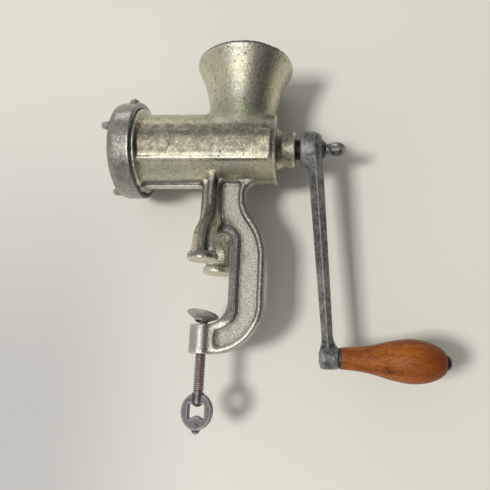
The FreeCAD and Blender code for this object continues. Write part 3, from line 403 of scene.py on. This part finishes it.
BLUE_LIGHT = rgb(0.10, 0.11, 0.14)
BLUE_DARK = rgb(0.035, 0.035, 0.045)
RED_STEEL = rgb(0.66, 0.55, 0.55)
RED_RUST = rgb(0.45, 0.30, 0.26)
GREY_STEEL = rgb(0.105, 0.098, 0.104)
BROWN_RUST = rgb(0.075, 0.058, 0.053)
GROUND_LIGHT = rgb(0.56, 0.56, 0.545)
GROUND_DARK = rgb(0.40, 0.395, 0.38)
RUSTED = rusty_steel("rusted_steel", RED_STEEL, RED_RUST, amount=0.45, groove=THREAD_ROOT)
DULL = rusty_steel("dull_steel", GREY_STEEL, BROWN_RUST, amount=0.2)
BLUED = plain_steel("blued_steel", BLUE_LIGHT, BLUE_DARK, gloss=(0.28, 0.45))
PEENED = plain_steel("blued_rivet", BLUE_LIGHT, BLUE_DARK, gloss=(0.28, 0.45), bare_to=HAMMERED_TO)
GROUND = plain_steel("ground_steel", GROUND_LIGHT, GROUND_DARK, gloss=(0.25, 0.42))
print("made", RUSTED.name, DULL.name, BLUED.name, PEENED.name, GROUND.name)

# %% [markdown]
# ## Varnished wood
# The grip is an orange-brown hardwood turned along its grain. Broad streaks are noise that is squeezed
# across the axis, the pores are short dark dashes of a second, finer noise, and the varnish is a thin coat
# on the shader. Oil has darkened the far end and one spot under the swell.

# %% The wood finish
GRIP_HEIGHT = -67.8 * MM
SPOT_PLACE = (141 * MM, -13 * MM, -77 * MM)
SPOT_REACH = (7 * MM, 2 * MM)
FAR_END = (152 * MM, 186 * MM)
NEAR_END = (109.6 * MM, 108.5 * MM)
BAND_GRAIN = (16.0, 190.0, 190.0)
PORE_GRAIN = (130.0, 1500.0, 1500.0)
FIBRE_GRAIN = (90.0, 2200.0, 2200.0)
WOOD_LIGHT = rgb(0.36, 0.098, 0.010)
WOOD_DARK = rgb(0.175, 0.041, 0.005)
WOOD_FIBRE = rgb(0.50, 0.175, 0.036)
WOOD_PORE = rgb(0.12, 0.030, 0.007)
WOOD_FAR_END = rgb(0.165, 0.036, 0.008)
WOOD_NEAR_END = rgb(0.10, 0.030, 0.010)
WOOD_SPOT = rgb(0.07, 0.017, 0.005)


def varnished_wood():
    finish, tree, coords, shader = begin_finish("varnished_wood")
    along = node(tree, "ShaderNodeSeparateXYZ", {0: coords}).outputs[0]
    band_coords = stretched(tree, coords, BAND_GRAIN)
    bands = noise(tree, band_coords, scale=1.0, detail=3.0, roughness=0.55, distortion=0.3)
    pores = noise(tree, stretched(tree, coords, PORE_GRAIN), scale=1.0, roughness=0.55)
    fibres = noise(tree, stretched(tree, coords, FIBRE_GRAIN), scale=1.0, roughness=0.6)
    colour = mix(tree, span(tree, bands, 0.3, 0.7), WOOD_LIGHT, WOOD_DARK)
    colour = mix(tree, span(tree, fibres, 0.4, 0.7, to_high=0.35), colour, WOOD_FIBRE)
    colour = mix(tree, span(tree, pores, 0.50, 0.66, to_high=0.75), colour, WOOD_PORE)
    colour = mix(tree, span(tree, along, *FAR_END, to_high=0.72), colour, WOOD_FAR_END)
    colour = mix(tree, span(tree, along, *NEAR_END, to_high=0.4), colour, WOOD_NEAR_END)
    apart = node(tree, "ShaderNodeVectorMath", {0: coords, 1: SPOT_PLACE}, operation="DISTANCE")
    away = apart.outputs["Value"]
    oily = times(tree, span(tree, away, *SPOT_REACH), span(tree, pores, 0.35, 0.6, to_low=0.2))
    colour = tint(tree, colour, oily, WOOD_SPOT, share=0.95)
    roughness = span(tree, pores, 0.35, 0.65, to_low=0.38, to_high=0.56)
    shader.inputs["Specular IOR Level"].default_value = 0.22
    shader.inputs["Coat Weight"].default_value = 0.08
    shader.inputs["Coat Roughness"].default_value = 0.3
    height = minus(tree, 1.0, span(tree, pores, 0.5, 0.66))
    join_finish(tree, shader, colour, roughness, height, strength=0.25, depth=0.2 * MM)
    return finish


WOOD = varnished_wood()
print("made", WOOD.name)

# %% [markdown]
# ## From sharp solids to a casting
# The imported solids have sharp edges, but sand castings have none. A bevel modifier needs clean faces, and
# these meshes are loose triangles, so each cast piece is copied, closed, covered with an even voxel skin
# and relaxed. Relaxing moves every point towards the middle of its neighbours, which rounds edges and fills
# corners.

# %% Helpers for the cast skins
MERGE_GAP = 0.0005 * MM
LONG_RELAX = 70
RELAX_STEP = 0.5
SWELL_STEP = 0.3
BEND_RELAX = 3
BEND_GAIN = 1.7
BEND_FLOOR = 0.2
TIGHTEST_BEND = 3.0 * MM


def bake_modifiers(piece):
    graph = bpy.context.evaluated_depsgraph_get()
    made = bpy.data.meshes.new_from_object(piece.evaluated_get(graph))
    piece.modifiers.clear()
    piece.data = made


def say_triangles(piece):
    piece.data.calc_loop_triangles()
    print(f"{piece.name}: {len(piece.data.loop_triangles)} triangles")


def new_piece(name, mesh):
    piece = bpy.data.objects.new(name, mesh)
    bpy.context.scene.collection.objects.link(piece)
    return piece


def closed_copy(name, node_name, extras):
    """A merged copy of a node's mesh, with other meshes laid into it."""
    shell = bmesh.new()
    shell.from_mesh(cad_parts[node_name].data)
    bmesh.ops.remove_doubles(shell, verts=shell.verts, dist=MERGE_GAP)
    for extra in extras:
        shell.from_mesh(extra)
    mesh = bpy.data.meshes.new(name)
    shell.to_mesh(mesh)
    shell.free()
    return new_piece(name, mesh)


def neighbour_mean(points, edges):
    count = len(points)
    shares = np.bincount(edges.ravel(), minlength=count)[:, None]
    total = np.empty_like(points)
    for axis in range(points.shape[1]):
        total[:, axis] = np.bincount(edges[:, 0], points[edges[:, 1], axis], minlength=count)
        total[:, axis] += np.bincount(edges[:, 1], points[edges[:, 0], axis], minlength=count)
    return total / shares


def mesh_arrays(mesh):
    points = np.empty(len(mesh.vertices) * 3)
    mesh.vertices.foreach_get("co", points)
    edges = np.empty(len(mesh.edges) * 2, dtype=np.int64)
    mesh.edges.foreach_get("vertices", edges)
    return points.reshape(-1, 3), edges.reshape(-1, 2)


def mark_bends(mesh, voxel):
    """Stores how far each point lies on a ridge or in a hollow, from 0 to 1."""
    points, edges = mesh_arrays(mesh)
    normals = np.empty(len(mesh.vertices) * 3)
    mesh.vertices.foreach_get("normal", normals)
    lift = (neighbour_mean(points, edges) - points) * normals.reshape(-1, 3)
    bend = np.sum(lift, axis=1, keepdims=True) * 2 / voxel ** 2
    for _ in range(BEND_RELAX):
        bend = 0.5 * bend + 0.5 * neighbour_mean(bend, edges)
    share = bend[:, 0] * TIGHTEST_BEND
    for name, values in (("edge", -share), ("hollow", share)):
        mark = mesh.attributes.new(name, "FLOAT", "POINT")
        level = np.clip(values * BEND_GAIN - BEND_FLOOR, 0.0, 1.0)
        mark.data.foreach_set("value", level.astype(np.float32))


def cast_skin(name, node_name, finish, voxel, passes, corners=None, extras=()):
    """A soft skin over a node; corners gives each point a share of a much longer relaxing.

    Each short pass relaxes and then swells the skin again, so that it rounds edges without growing thin.
    """
    piece = closed_copy(name, node_name, extras)
    skin = piece.modifiers.new("even_skin", "REMESH")
    skin.mode = "VOXEL"
    skin.voxel_size = voxel
    bake_modifiers(piece)
    points, edges = mesh_arrays(piece.data)
    if corners:
        share = RELAX_STEP * corners(points / MM)[:, None]
        for _ in range(LONG_RELAX):
            points += share * (neighbour_mean(points, edges) - points)
    for _ in range(passes):
        points += RELAX_STEP * (neighbour_mean(points, edges) - points)
        points -= SWELL_STEP * (neighbour_mean(points, edges) - points)
    lowest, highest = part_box(node_name)
    points = np.clip(points, np.array(lowest), np.array(highest))
    piece.data.vertices.foreach_set("co", points.ravel())
    piece.data.update()
    piece.data.shade_smooth()
    mark_bends(piece.data, voxel)
    piece.data.materials.clear()
    piece.data.materials.append(finish)
    say_triangles(piece)
    return piece


def stand_for(piece, body, slot, *nodes):
    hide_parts(*nodes)
    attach(piece, body)


# %% [markdown]
# ## Beads by geometry nodes
# A narrow bead runs along the lower edge of the barrel's raised panel, on both flanks. It follows a
# straight line, so a short tree makes it: a line, a round section, and a sweep with caps. The beads are
# laid into the casting before its skin is made, so that they melt into the barrel as they would in a mould.

# %% The bead tree
def finish_tree(tree, geometry, finish):
    """Every tree here ends in real geometry with its material."""
    real = node(tree, "GeometryNodeRealizeInstances", {0: geometry}).outputs[0]
    dressed = node(tree, "GeometryNodeSetMaterial", {"Geometry": real, "Material": finish}).outputs[0]
    node(tree, "NodeGroupOutput", {0: dressed})


def start_tree(name, inputs):
    tree = bpy.data.node_groups.new(name, "GeometryNodeTree")
    for title, kind in inputs:
        tree.interface.new_socket(title, in_out="INPUT", socket_type=kind)
    tree.interface.new_socket("Geometry", in_out="OUTPUT", socket_type="NodeSocketGeometry")
    return tree, node(tree, "NodeGroupInput").outputs


def run_tree(name, tree, values, mesh=None):
    """Runs a tree on a mesh, with its inputs set by identifier, and keeps the plain result."""
    piece = new_piece(name, mesh or bpy.data.meshes.new(name))
    modifier = piece.modifiers.new("recipe", "NODES")
    modifier.node_group = tree
    for item in tree.interface.items_tree:
        if item.in_out == "INPUT" and item.name in values:
            modifier[item.identifier] = values[item.name]
    bake_modifiers(piece)
    return piece


BEAD_SIDES = 12
BEAD_RADIUS = 1.6
BEAD_DROP = 17.6
BEAD_FRONT = (-57.2, 27.55)
BEAD_REAR = (50.5, 25.2)

bead_tree, bead_in = start_tree("cast_bead", [
    ("Geometry", "NodeSocketGeometry"), ("Start", "NodeSocketVector"), ("End", "NodeSocketVector"),
    ("Radius", "NodeSocketFloat"), ("Finish", "NodeSocketMaterial")])
bead_line = node(bead_tree, "GeometryNodeCurvePrimitiveLine", {
    "Start": bead_in["Start"], "End": bead_in["End"]})
bead_round = node(bead_tree, "GeometryNodeCurvePrimitiveCircle", {
    "Resolution": BEAD_SIDES, "Radius": bead_in["Radius"]})
bead_sweep = node(bead_tree, "GeometryNodeCurveToMesh", {
    "Curve": bead_line.outputs[0], "Profile Curve": bead_round.outputs[0], "Fill Caps": True})
finish_tree(bead_tree, bead_sweep.outputs[0], bead_in["Finish"])


def bead_end(end, side):
    along, out = end
    return (along * MM, side * out * MM, AXIS_HEIGHT - BEAD_DROP * MM)


beads = []
for side in (-1, 1):
    values = {"Start": bead_end(BEAD_FRONT, side), "End": bead_end(BEAD_REAR, side)}
    values.update({"Radius": BEAD_RADIUS * MM, "Finish": TINNED})
    bead = run_tree("bead", bead_tree, values)
    beads.append(bead.data)
    bpy.data.objects.remove(bead)
print("beads:", len(beads))

# %% [markdown]
# ## The housing
# Barrel, hopper, legs and clamp frame are one casting. Where the hopper grows out of the barrel the real
# one has broad fillets, and its legs and bands are well rounded, so those places are relaxed far longer
# than the rest.

# %% The cast housing
HOPPER_PLACE = 24.5
NECK_RADIUS = 28.7
NECK_INSIDE = 26.8
BARREL_RADIUS = 31
BARREL_INSIDE = 28
FILLET_REACH = 9
FILLET_GAIN = 2.5
WEB_HALF = 4.5
BAND_HALF = 8.5
LEG_LOW = 8
LEG_HIGH = 70
LEG_SHARE = 0.16
BAND_SHARE = 0.15


def housing_corners(points):
    """In millimetres: the hopper's root is relaxed most, the legs and bands a little."""
    x, y, z = points.T
    axis = AXIS_HEIGHT / MM
    across = np.abs(y)
    out = np.hypot(x - HOPPER_PLACE, y)
    round_axis = np.hypot(y, z - axis)
    near_neck = np.clip(1 - np.abs(out - NECK_RADIUS) / FILLET_REACH, 0, 1)
    near_barrel = np.clip(1 - np.abs(round_axis - BARREL_RADIUS) / FILLET_REACH, 0, 1)
    outside = (out > NECK_INSIDE) & (round_axis > BARREL_INSIDE) & (z > axis)
    root = np.where(outside, np.minimum(1, FILLET_GAIN * near_neck * near_barrel), 0.0)
    legs = np.where((across > BAND_HALF) & (z > LEG_LOW) & (z < LEG_HIGH), LEG_SHARE, 0.0)
    bands = np.where((across > WEB_HALF) & (across <= BAND_HALF) & (z < LEG_HIGH), BAND_SHARE, 0.0)
    return root + legs + bands


housing = cast_skin("cast_housing", "housing", TINNED, voxel=1.15 * MM, passes=2, corners=housing_corners,
                    extras=beads)
stand_for(housing, "housing", "tinned_iron", "housing")

# %% [markdown]
# ## The other castings
# The ring nut, the crank and the two eyes get the same treatment with finer skins, because they are
# smaller.

# %% Ring nut, crank and eyes
HUB_LOW = 87.5
HUB_REACH = 9
HUB_SHARE = 0.9
PIVOT_HIGH = -50.0
PIVOT_REACH = 6
PIVOT_SHARE = 0.25


def crank_corners(points):
    """In millimetres: the hub and the pivot boss melt into the arm."""
    height = points[:, 2]
    near_hub = np.clip(1 - np.abs(height - HUB_LOW) / HUB_REACH, 0, 1)
    near_pivot = np.clip((PIVOT_HIGH - height + PIVOT_REACH) / (2 * PIVOT_REACH), 0, 1)
    return np.maximum(HUB_SHARE * near_hub, PIVOT_SHARE * near_pivot)


ring = cast_skin("cast_ring_nut", "ring_nut", WORN, voxel=0.75 * MM, passes=2)
stand_for(ring, "ring_nut", "worn_iron", "ring_nut")
crank = cast_skin("cast_crank", "crank_arm", DARK, voxel=0.6 * MM, passes=3, corners=crank_corners)
stand_for(crank, "crank", "dark_iron", "crank_arm")
eye_screw = cast_skin("forged_eye_screw", "crank_screw", DULL, voxel=0.3 * MM, passes=4)
stand_for(eye_screw, "crank_screw", "rusted_steel", "crank_screw")
clamp_eye = cast_skin("cast_clamp_eye", "clamp_eye", DULL, voxel=0.4 * MM, passes=36)
stand_for(clamp_eye, "clamp_screw", "rusted_steel", "clamp_eye")

# %% [markdown]
# ## A lathe of geometry nodes
# Grip, rivet, collar, pad and clamp screw are all turned, so one tree makes them. It reads a profile as a
# curve, lays a grid of stations and angles over it, and moves each grid point to its radius round the X
# axis. A thread is a small rise of that radius that climbs one pitch per turn. Turn and Shift then put the
# piece in its place.

# %% The lathe tree
SEAM_GAP = 0.002 * MM
lathe, lathe_in = start_tree("lathe", [
    ("Geometry", "NodeSocketGeometry"), ("Stations", "NodeSocketInt"), ("Segments", "NodeSocketInt"),
    ("Thread Pitch", "NodeSocketFloat"), ("Thread Depth", "NodeSocketFloat"),
    ("Thread Start", "NodeSocketFloat"), ("Thread End", "NodeSocketFloat"),
    ("Turn", "NodeSocketRotation"), ("Shift", "NodeSocketVector"), ("Finish", "NodeSocketMaterial")])
profile = node(lathe, "GeometryNodeMeshToCurve", {0: lathe_in["Geometry"]}).outputs[0]
sheet = node(lathe, "GeometryNodeMeshGrid", {
    "Size X": 1.0, "Size Y": 1.0, "Vertices X": lathe_in["Stations"],
    "Vertices Y": plus(lathe, lathe_in["Segments"], 1.0)}).outputs[0]
grid_place = node(lathe, "GeometryNodeInputPosition").outputs[0]
grid_spot = node(lathe, "ShaderNodeSeparateXYZ", {0: grid_place}).outputs
along_profile = plus(lathe, grid_spot[0], 0.5)
turn_share = plus(lathe, grid_spot[1], 0.5)
station = node(lathe, "GeometryNodeSampleCurve", {"Curves": profile, "Factor": along_profile}, mode="FACTOR")
station_place = node(lathe, "ShaderNodeSeparateXYZ", {0: station.outputs["Position"]}).outputs
climb = math_node(lathe, "DIVIDE", station_place[0], lathe_in["Thread Pitch"])
phase = math_node(lathe, "FRACT", minus(lathe, climb, turn_share))
from_ridge = math_node(lathe, "ABSOLUTE", minus(lathe, times(lathe, phase, 2.0), 1.0))
ridge = minus(lathe, 1.0, from_ridge)
after_start = math_node(lathe, "GREATER_THAN", station_place[0], lathe_in["Thread Start"])
before_end = math_node(lathe, "LESS_THAN", station_place[0], lathe_in["Thread End"])
threaded = times(lathe, after_start, before_end)
rise = times(lathe, times(lathe, ridge, lathe_in["Thread Depth"]), threaded)
radius = plus(lathe, station_place[2], rise)
angle = times(lathe, turn_share, math.tau)
round_place = node(lathe, "ShaderNodeCombineXYZ", {
    0: station_place[0],
    1: times(lathe, radius, math_node(lathe, "COSINE", angle)),
    2: times(lathe, radius, math_node(lathe, "SINE", angle))}).outputs[0]
spun = node(lathe, "GeometryNodeSetPosition", {"Geometry": sheet, "Position": round_place}).outputs[0]
closed = node(lathe, "GeometryNodeMergeByDistance", {"Geometry": spun, "Distance": SEAM_GAP}).outputs[0]
placed = node(lathe, "GeometryNodeTransform", {
    "Geometry": closed, "Translation": lathe_in["Shift"], "Rotation": lathe_in["Turn"]}).outputs[0]
finish_tree(lathe, placed, lathe_in["Finish"])
print("lathe nodes:", len(lathe.nodes))

# %% [markdown]
# ## Turned pieces
# A profile is a row of points, each a place along the axis and a radius in millimetres. Rounded shoulders
# are quarter ellipses, and a flowing line passes smoothly through a few stations, as a turner's skew leaves
# it.

# %% Helpers for turned pieces
SHARP_ANGLE = math.radians(32)
NO_THREAD = (1.0, 0.0, 0.0, 0.0)
UNMOVED = (0.0, 0.0, 0.0)


def turned(name, stations, finish, count, segments, turn=UNMOVED, shift=UNMOVED, thread=NO_THREAD):
    """Lengths are in millimetres; a thread is its pitch, its depth, and where it starts and ends."""
    pitch, depth, start, end = thread
    mesh = bpy.data.meshes.new(name)
    mesh.from_pydata([(along * MM, 0.0, radius * MM) for along, radius in stations],
                     [(i, i + 1) for i in range(len(stations) - 1)], [])
    piece = run_tree(name, lathe, {
        "Stations": count, "Segments": segments, "Thread Pitch": pitch * MM,
        "Thread Depth": depth * MM, "Thread Start": start * MM, "Thread End": end * MM,
        "Turn": turn, "Shift": tuple(value * MM for value in shift), "Finish": finish}, mesh)
    skin = bmesh.new()
    skin.from_mesh(piece.data)
    bmesh.ops.recalc_face_normals(skin, faces=skin.faces)
    for line in skin.edges:
        line.smooth = line.calc_face_angle(0.0) < SHARP_ANGLE
    for face in skin.faces:
        face.smooth = True
    skin.to_mesh(piece.data)
    skin.free()
    say_triangles(piece)
    return piece


def quarter_round(along, radius, length, depth, steps):
    """Points of a rounded shoulder that runs length along the axis while its radius falls by depth."""
    turns = [math.pi / 2 * i / steps for i in range(steps + 1)]
    return [(along + length * math.sin(t), radius - depth * (1 - math.cos(t))) for t in turns]


def flowing(stations, steps):
    """A smooth line through stations: a cubic in each gap, with slopes taken from the neighbours."""
    along, radius = np.array(stations).T
    slope = np.gradient(radius, along)
    fine = np.linspace(along[0], along[-1], steps)
    gap = np.clip(np.searchsorted(along, fine, side="right") - 1, 0, len(along) - 2)
    width = along[gap + 1] - along[gap]
    t = (fine - along[gap]) / width
    rest = 1 - t
    line = (radius[gap] * (1 + 2 * t) * rest ** 2 + slope[gap] * width * t * rest ** 2
            + radius[gap + 1] * t ** 2 * (3 - 2 * t) - slope[gap + 1] * width * t ** 2 * rest)
    return [(float(a), float(b)) for a, b in zip(fine, line)]


# %% The wooden grip
GRIP_START, GRIP_END = (corner[0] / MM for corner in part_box("grip"))
GRIP_BORE = 3.95
GRIP_NEAR_FACE = 7.8
GRIP_FAR_FACE = 7.4
GRIP_SHIFT = (0.0, 0.0, GRIP_HEIGHT / MM)
# shares of the grip's length, with the radius at each
GRIP_SHARES = [
    (0.008, 8.3), (0.08, 8.47), (0.28, 10.3), (0.5, 14.57),
    (0.7, 16.4), (0.86, 14.27), (0.95, 10.99), (0.985, 8.9)]
grip_length = GRIP_END - GRIP_START
grip_line = flowing([(GRIP_START + share * grip_length, radius) for share, radius in GRIP_SHARES], 90)
grip_profile = [
    (GRIP_START, GRIP_BORE), (GRIP_START, GRIP_NEAR_FACE), *grip_line,
    (GRIP_END, GRIP_FAR_FACE), (GRIP_END, GRIP_BORE), (GRIP_START, GRIP_BORE)]
grip = turned("turned_grip", grip_profile, WOOD, count=260, segments=96, shift=GRIP_SHIFT)
stand_for(grip, "grip", "varnished_wood", "grip")

# %% The rivet through the grip
RIVET_TAIL, RIVET_TIP = (corner[0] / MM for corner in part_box("grip_rivet"))
RIVET_SEAT = GRIP_END + 0.1
RIVET_SHANK = 3.9
RIVET_FLANGE = 5.07
RIVET_HEAD = 5.8
RIVET_BREAK = 0.3
rivet_profile = [
    (RIVET_TAIL, 0.0), (RIVET_TAIL, 3.5), (RIVET_TAIL + RIVET_BREAK, RIVET_FLANGE),
    (RIVET_TAIL + 2 * RIVET_BREAK, RIVET_FLANGE), (RIVET_TAIL + 2 * RIVET_BREAK, RIVET_SHANK),
    (RIVET_SEAT, RIVET_SHANK), (RIVET_SEAT, RIVET_HEAD - RIVET_BREAK)]
rivet_dome = RIVET_TIP - RIVET_SEAT - RIVET_BREAK
rivet_profile += quarter_round(RIVET_SEAT + RIVET_BREAK, RIVET_HEAD, rivet_dome, RIVET_HEAD, 12)
rivet = turned("blued_rivet", rivet_profile, PEENED, count=260, segments=48, shift=GRIP_SHIFT)
stand_for(rivet, "crank", "blued_steel", "grip_rivet")

# %% [markdown]
# ## The clamp
# The clamp screw is a threaded rod with a plain tip, and a shallow pad rocks on that tip. In the photograph
# the pad leans to the right and to the rear, so its lathe axis leans too.

# %% Clamp screw and pad
UPRIGHT = (0.0, -math.pi / 2, 0.0)
ROD_BOTTOM, ROD_TIP = (corner[2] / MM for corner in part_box("clamp_screw"))
ROD_SHOULDER = -46.6
ROD_CORE = 3.6
ROD_PIN = 2.2
ROD_THREAD = (1.5, 0.8, -97.0, ROD_SHOULDER - 1.0)
rod_profile = [
    (ROD_BOTTOM, 0.0), (ROD_BOTTOM, ROD_CORE), (ROD_SHOULDER - 0.3, ROD_CORE), (ROD_SHOULDER, ROD_CORE - 0.3),
    (ROD_SHOULDER, ROD_PIN), (ROD_TIP - 0.4, ROD_PIN), (ROD_TIP, ROD_PIN - 0.4), (ROD_TIP, 0.0)]
rod = turned("threaded_rod", rod_profile, RUSTED, count=640, segments=40, turn=UPRIGHT, thread=ROD_THREAD)
stand_for(rod, "clamp_screw", "rusted_steel", "clamp_screw")

PAD_LEAN = math.radians(13.5)
PAD_TURN = math.radians(54.0)
PAD_HEIGHT = 7.0
PAD_NECK = 5.4
PAD_FLOOR = -45.5
pad_shift = -PAD_HEIGHT * math.sin(PAD_LEAN)
pad_lift = PAD_FLOOR + PAD_NECK * math.sin(PAD_LEAN)
pad_base = (pad_shift * math.cos(PAD_TURN), pad_shift * math.sin(PAD_TURN), pad_lift)
pad_slant = (0.0, PAD_LEAN - math.pi / 2, PAD_TURN)
PAD_SOCKET = [(4.14, 0.0), (4.14, 3.8), (3.94, 4.0), (0.2, 4.0), (0.0, 4.2)]
PAD_UNDERSIDE = [
    (0.0, 5.2), (0.2, PAD_NECK), (1.4, 5.75), (2.3, 7.2), (3.4, 9.5), (4.7, 11.8), (5.3, 12.7), (5.6, 12.9)]
PAD_EDGE = quarter_round(6.2, 12.9, 0.8, 0.9, 6)
PAD_DISH = [(6.9, 10.5), (6.7, 6.0), (6.6, 0.0)]
pad_profile = PAD_SOCKET + PAD_UNDERSIDE + PAD_EDGE + PAD_DISH
pad = turned("dished_pad", pad_profile, DISHED, count=260, segments=72, turn=pad_slant, shift=pad_base)
stand_for(pad, "clamp_pad", "dark_iron", "clamp_pad")

# %% The conical collar
COLLAR_SEAT = 92.8
COLLAR_TIP = 96.0
COLLAR_BORE = 3.95
COLLAR_SHIFT = (0.0, 0.0, AXIS_HEIGHT / MM)
collar_profile = [
    (COLLAR_SEAT, COLLAR_BORE), (COLLAR_SEAT, 7.7), (93.1, 8.0), (93.7, 8.0), (94.5, 6.9),
    (COLLAR_TIP, 5.6), (COLLAR_TIP, COLLAR_BORE), (COLLAR_SEAT, COLLAR_BORE)]
collar = turned("turned_collar", collar_profile, BLUED, count=160, segments=64, shift=COLLAR_SHIFT)
stand_for(collar, "crank_screw_collar", "rusted_steel", "crank_screw_collar")

# %% [markdown]
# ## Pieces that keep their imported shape
# The plate, its key pin, the knife, the stud, the washers and the feed screw are already what they should
# be, so they keep their meshes and only get a finish.

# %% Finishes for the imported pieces
KEPT = {
    "perforated_plate": GROUND, "plate_key_pin": GROUND, "knife": GROUND, "feed_screw_stud": GROUND,
    "thrust_washer": GROUND, "grip_washer": DULL, "feed_screw": OILED,
}
for node_name, finish in KEPT.items():
    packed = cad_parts[node_name]
    packed.data.materials.clear()
    packed.data.materials.append(finish)
print("kept:", ", ".join(KEPT))

# %% [markdown]
# ## The table and the light
# The grinder lies on a pale table and is seen from above, so the table is an upright board just behind it.
# A board seen from its back is clear, which keeps the rear views free. Three lamps light it. A far one at
# the lower left throws the shadows and is kept out of the reflections. A tall one in front draws the bright
# strip on smooth metal and is kept out of the diffuse light. A small, weak panel overhead lifts the upper
# sides. The sky is a pale wall at the left that falls off into a dim room at the right, which gives metal
# its dark side.

# %% The pale board
BOARD_PLACE = 42.6 * MM
BOARD_HALF = 1.5
BOARD_WARM = rgb(0.70, 0.685, 0.625)
BOARD_PALE = rgb(0.73, 0.715, 0.66)
BOARD_DIM = rgb(0.515, 0.51, 0.495)
DIM_LEFT = (20 * MM, -160 * MM)
DIM_LOW = (210 * MM, -120 * MM)


def pale_board():
    """A clouded white, with painted shade towards the lower left."""
    finish, tree, coords, shader = begin_finish("pale_board")
    cloud = noise(tree, coords, scale=2.2)
    colour = mix(tree, span(tree, cloud, 0.3, 0.7), BOARD_WARM, BOARD_PALE)
    place = node(tree, "ShaderNodeSeparateXYZ", {0: coords}).outputs
    # painted shade: the board grows darker towards the lower left
    dim = times(tree, span(tree, place[0], *DIM_LEFT), span(tree, place[2], *DIM_LOW))
    colour = mix(tree, dim, colour, BOARD_DIM)
    tree.links.new(colour, shader.inputs["Base Color"])
    shader.inputs["Roughness"].default_value = 0.6
    clear = node(tree, "ShaderNodeBsdfTransparent").outputs[0]
    behind = node(tree, "ShaderNodeNewGeometry").outputs["Backfacing"]
    either = node(tree, "ShaderNodeMixShader", {0: behind, 1: shader.outputs[0], 2: clear}).outputs[0]
    tree.links.new(either, tree.nodes["Material Output"].inputs["Surface"])
    return finish


board_mesh = bpy.data.meshes.new("pale_board")
board_mesh.from_pydata(
    [(-BOARD_HALF, BOARD_PLACE, -BOARD_HALF), (BOARD_HALF, BOARD_PLACE, -BOARD_HALF),
     (BOARD_HALF, BOARD_PLACE, BOARD_HALF), (-BOARD_HALF, BOARD_PLACE, BOARD_HALF)], [], [(0, 1, 2, 3)])
board_mesh.materials.append(pale_board())
board = new_piece("pale_board", board_mesh)
print("board normal:", tuple(round(v, 2) for v in board_mesh.polygons[0].normal))

# %% Lamps and sky
LAMP_AIM = Vector((0.03, 0.0, 0.03))
WALL_LEFT = rgb(0.60, 0.59, 0.56)
WALL_MIDDLE = rgb(0.38, 0.38, 0.36)
DIM_ROOM = rgb(0.08, 0.085, 0.08)


def lamp(name, place, width, height, power, colour):
    light = bpy.data.lights.new(name, "AREA")
    light.shape = "RECTANGLE"
    light.size = width
    light.size_y = height
    light.energy = power
    light.color = colour
    made = bpy.data.objects.new(name, light)
    made.location = place
    made.rotation_euler = (LAMP_AIM - Vector(place)).to_track_quat("-Z", "Y").to_euler()
    bpy.context.scene.collection.objects.link(made)
    return made


DAYLIGHT = (1.0, 0.985, 0.95)
LAMPLIGHT = (1.0, 0.99, 0.96)
window = lamp("window_left", (-2.95, -5.00, -0.90), width=1.3, height=1.3, power=262.0, colour=DAYLIGHT)
window.visible_glossy = False
strip = lamp("tall_strip", (-0.62, -3.84, -0.76), width=0.9, height=4.1, power=54.0, colour=LAMPLIGHT)
strip.visible_diffuse = False
lamp("ceiling_panel", (-1.30, -1.30, 3.45), width=0.7, height=1.3, power=5.5, colour=LAMPLIGHT)

world = bpy.data.worlds.new("soft_room")
world.use_nodes = True
bpy.context.scene.world = world
sky = world.node_tree
sky_shader = sky.nodes["Background"]
direction = node(sky, "ShaderNodeTexCoord").outputs["Generated"]
sideways = node(sky, "ShaderNodeSeparateXYZ", {0: direction}).outputs[0]
walls = mix(sky, span(sky, sideways, -0.9, 0.1), WALL_LEFT, WALL_MIDDLE)
room = mix(sky, span(sky, sideways, 0.15, 0.9), walls, DIM_ROOM)
sky.links.new(room, sky_shader.inputs["Color"])
sky_shader.inputs["Strength"].default_value = 1.0
bpy.context.scene.view_settings.view_transform = "Standard"
print("lamps and sky ready")

# %% [markdown]
# ## The camera
# The photograph was taken close by, a little from the right and from below the middle, and turned by a few
# degrees. Its lens sees about 52 degrees. The camera's axes are worked out from those angles.

# %% Place the camera
CAMERA_YAW = math.radians(8.0)
CAMERA_PITCH = math.radians(-13.5)
CAMERA_ROLL = math.radians(2.7)
CAMERA_DISTANCE = 0.410
CAMERA_TARGET = Vector((31.171, 0.0, 19.581)) * MM
FOCAL_SHARE = 500 / 490
SENSOR_WIDTH = 36.0

flat_turn = Matrix.Rotation(CAMERA_YAW, 3, "Z") @ Matrix.Rotation(math.pi / 2 - CAMERA_PITCH, 3, "X")
camera_turn = flat_turn @ Matrix.Rotation(CAMERA_ROLL, 3, "Z")
lens = bpy.data.cameras.new("camera")
lens.sensor_width = SENSOR_WIDTH
lens.lens = SENSOR_WIDTH * FOCAL_SHARE
lens.clip_start = 0.01
camera = bpy.data.objects.new("camera", lens)
camera_place = CAMERA_TARGET + camera_turn @ Vector((0, 0, CAMERA_DISTANCE))
camera.matrix_world = Matrix.Translation(camera_place) @ camera_turn.to_4x4()
bpy.context.scene.collection.objects.link(camera)
bpy.context.scene.camera = camera
print("camera at", tuple(round(v, 4) for v in camera.matrix_world.translation))
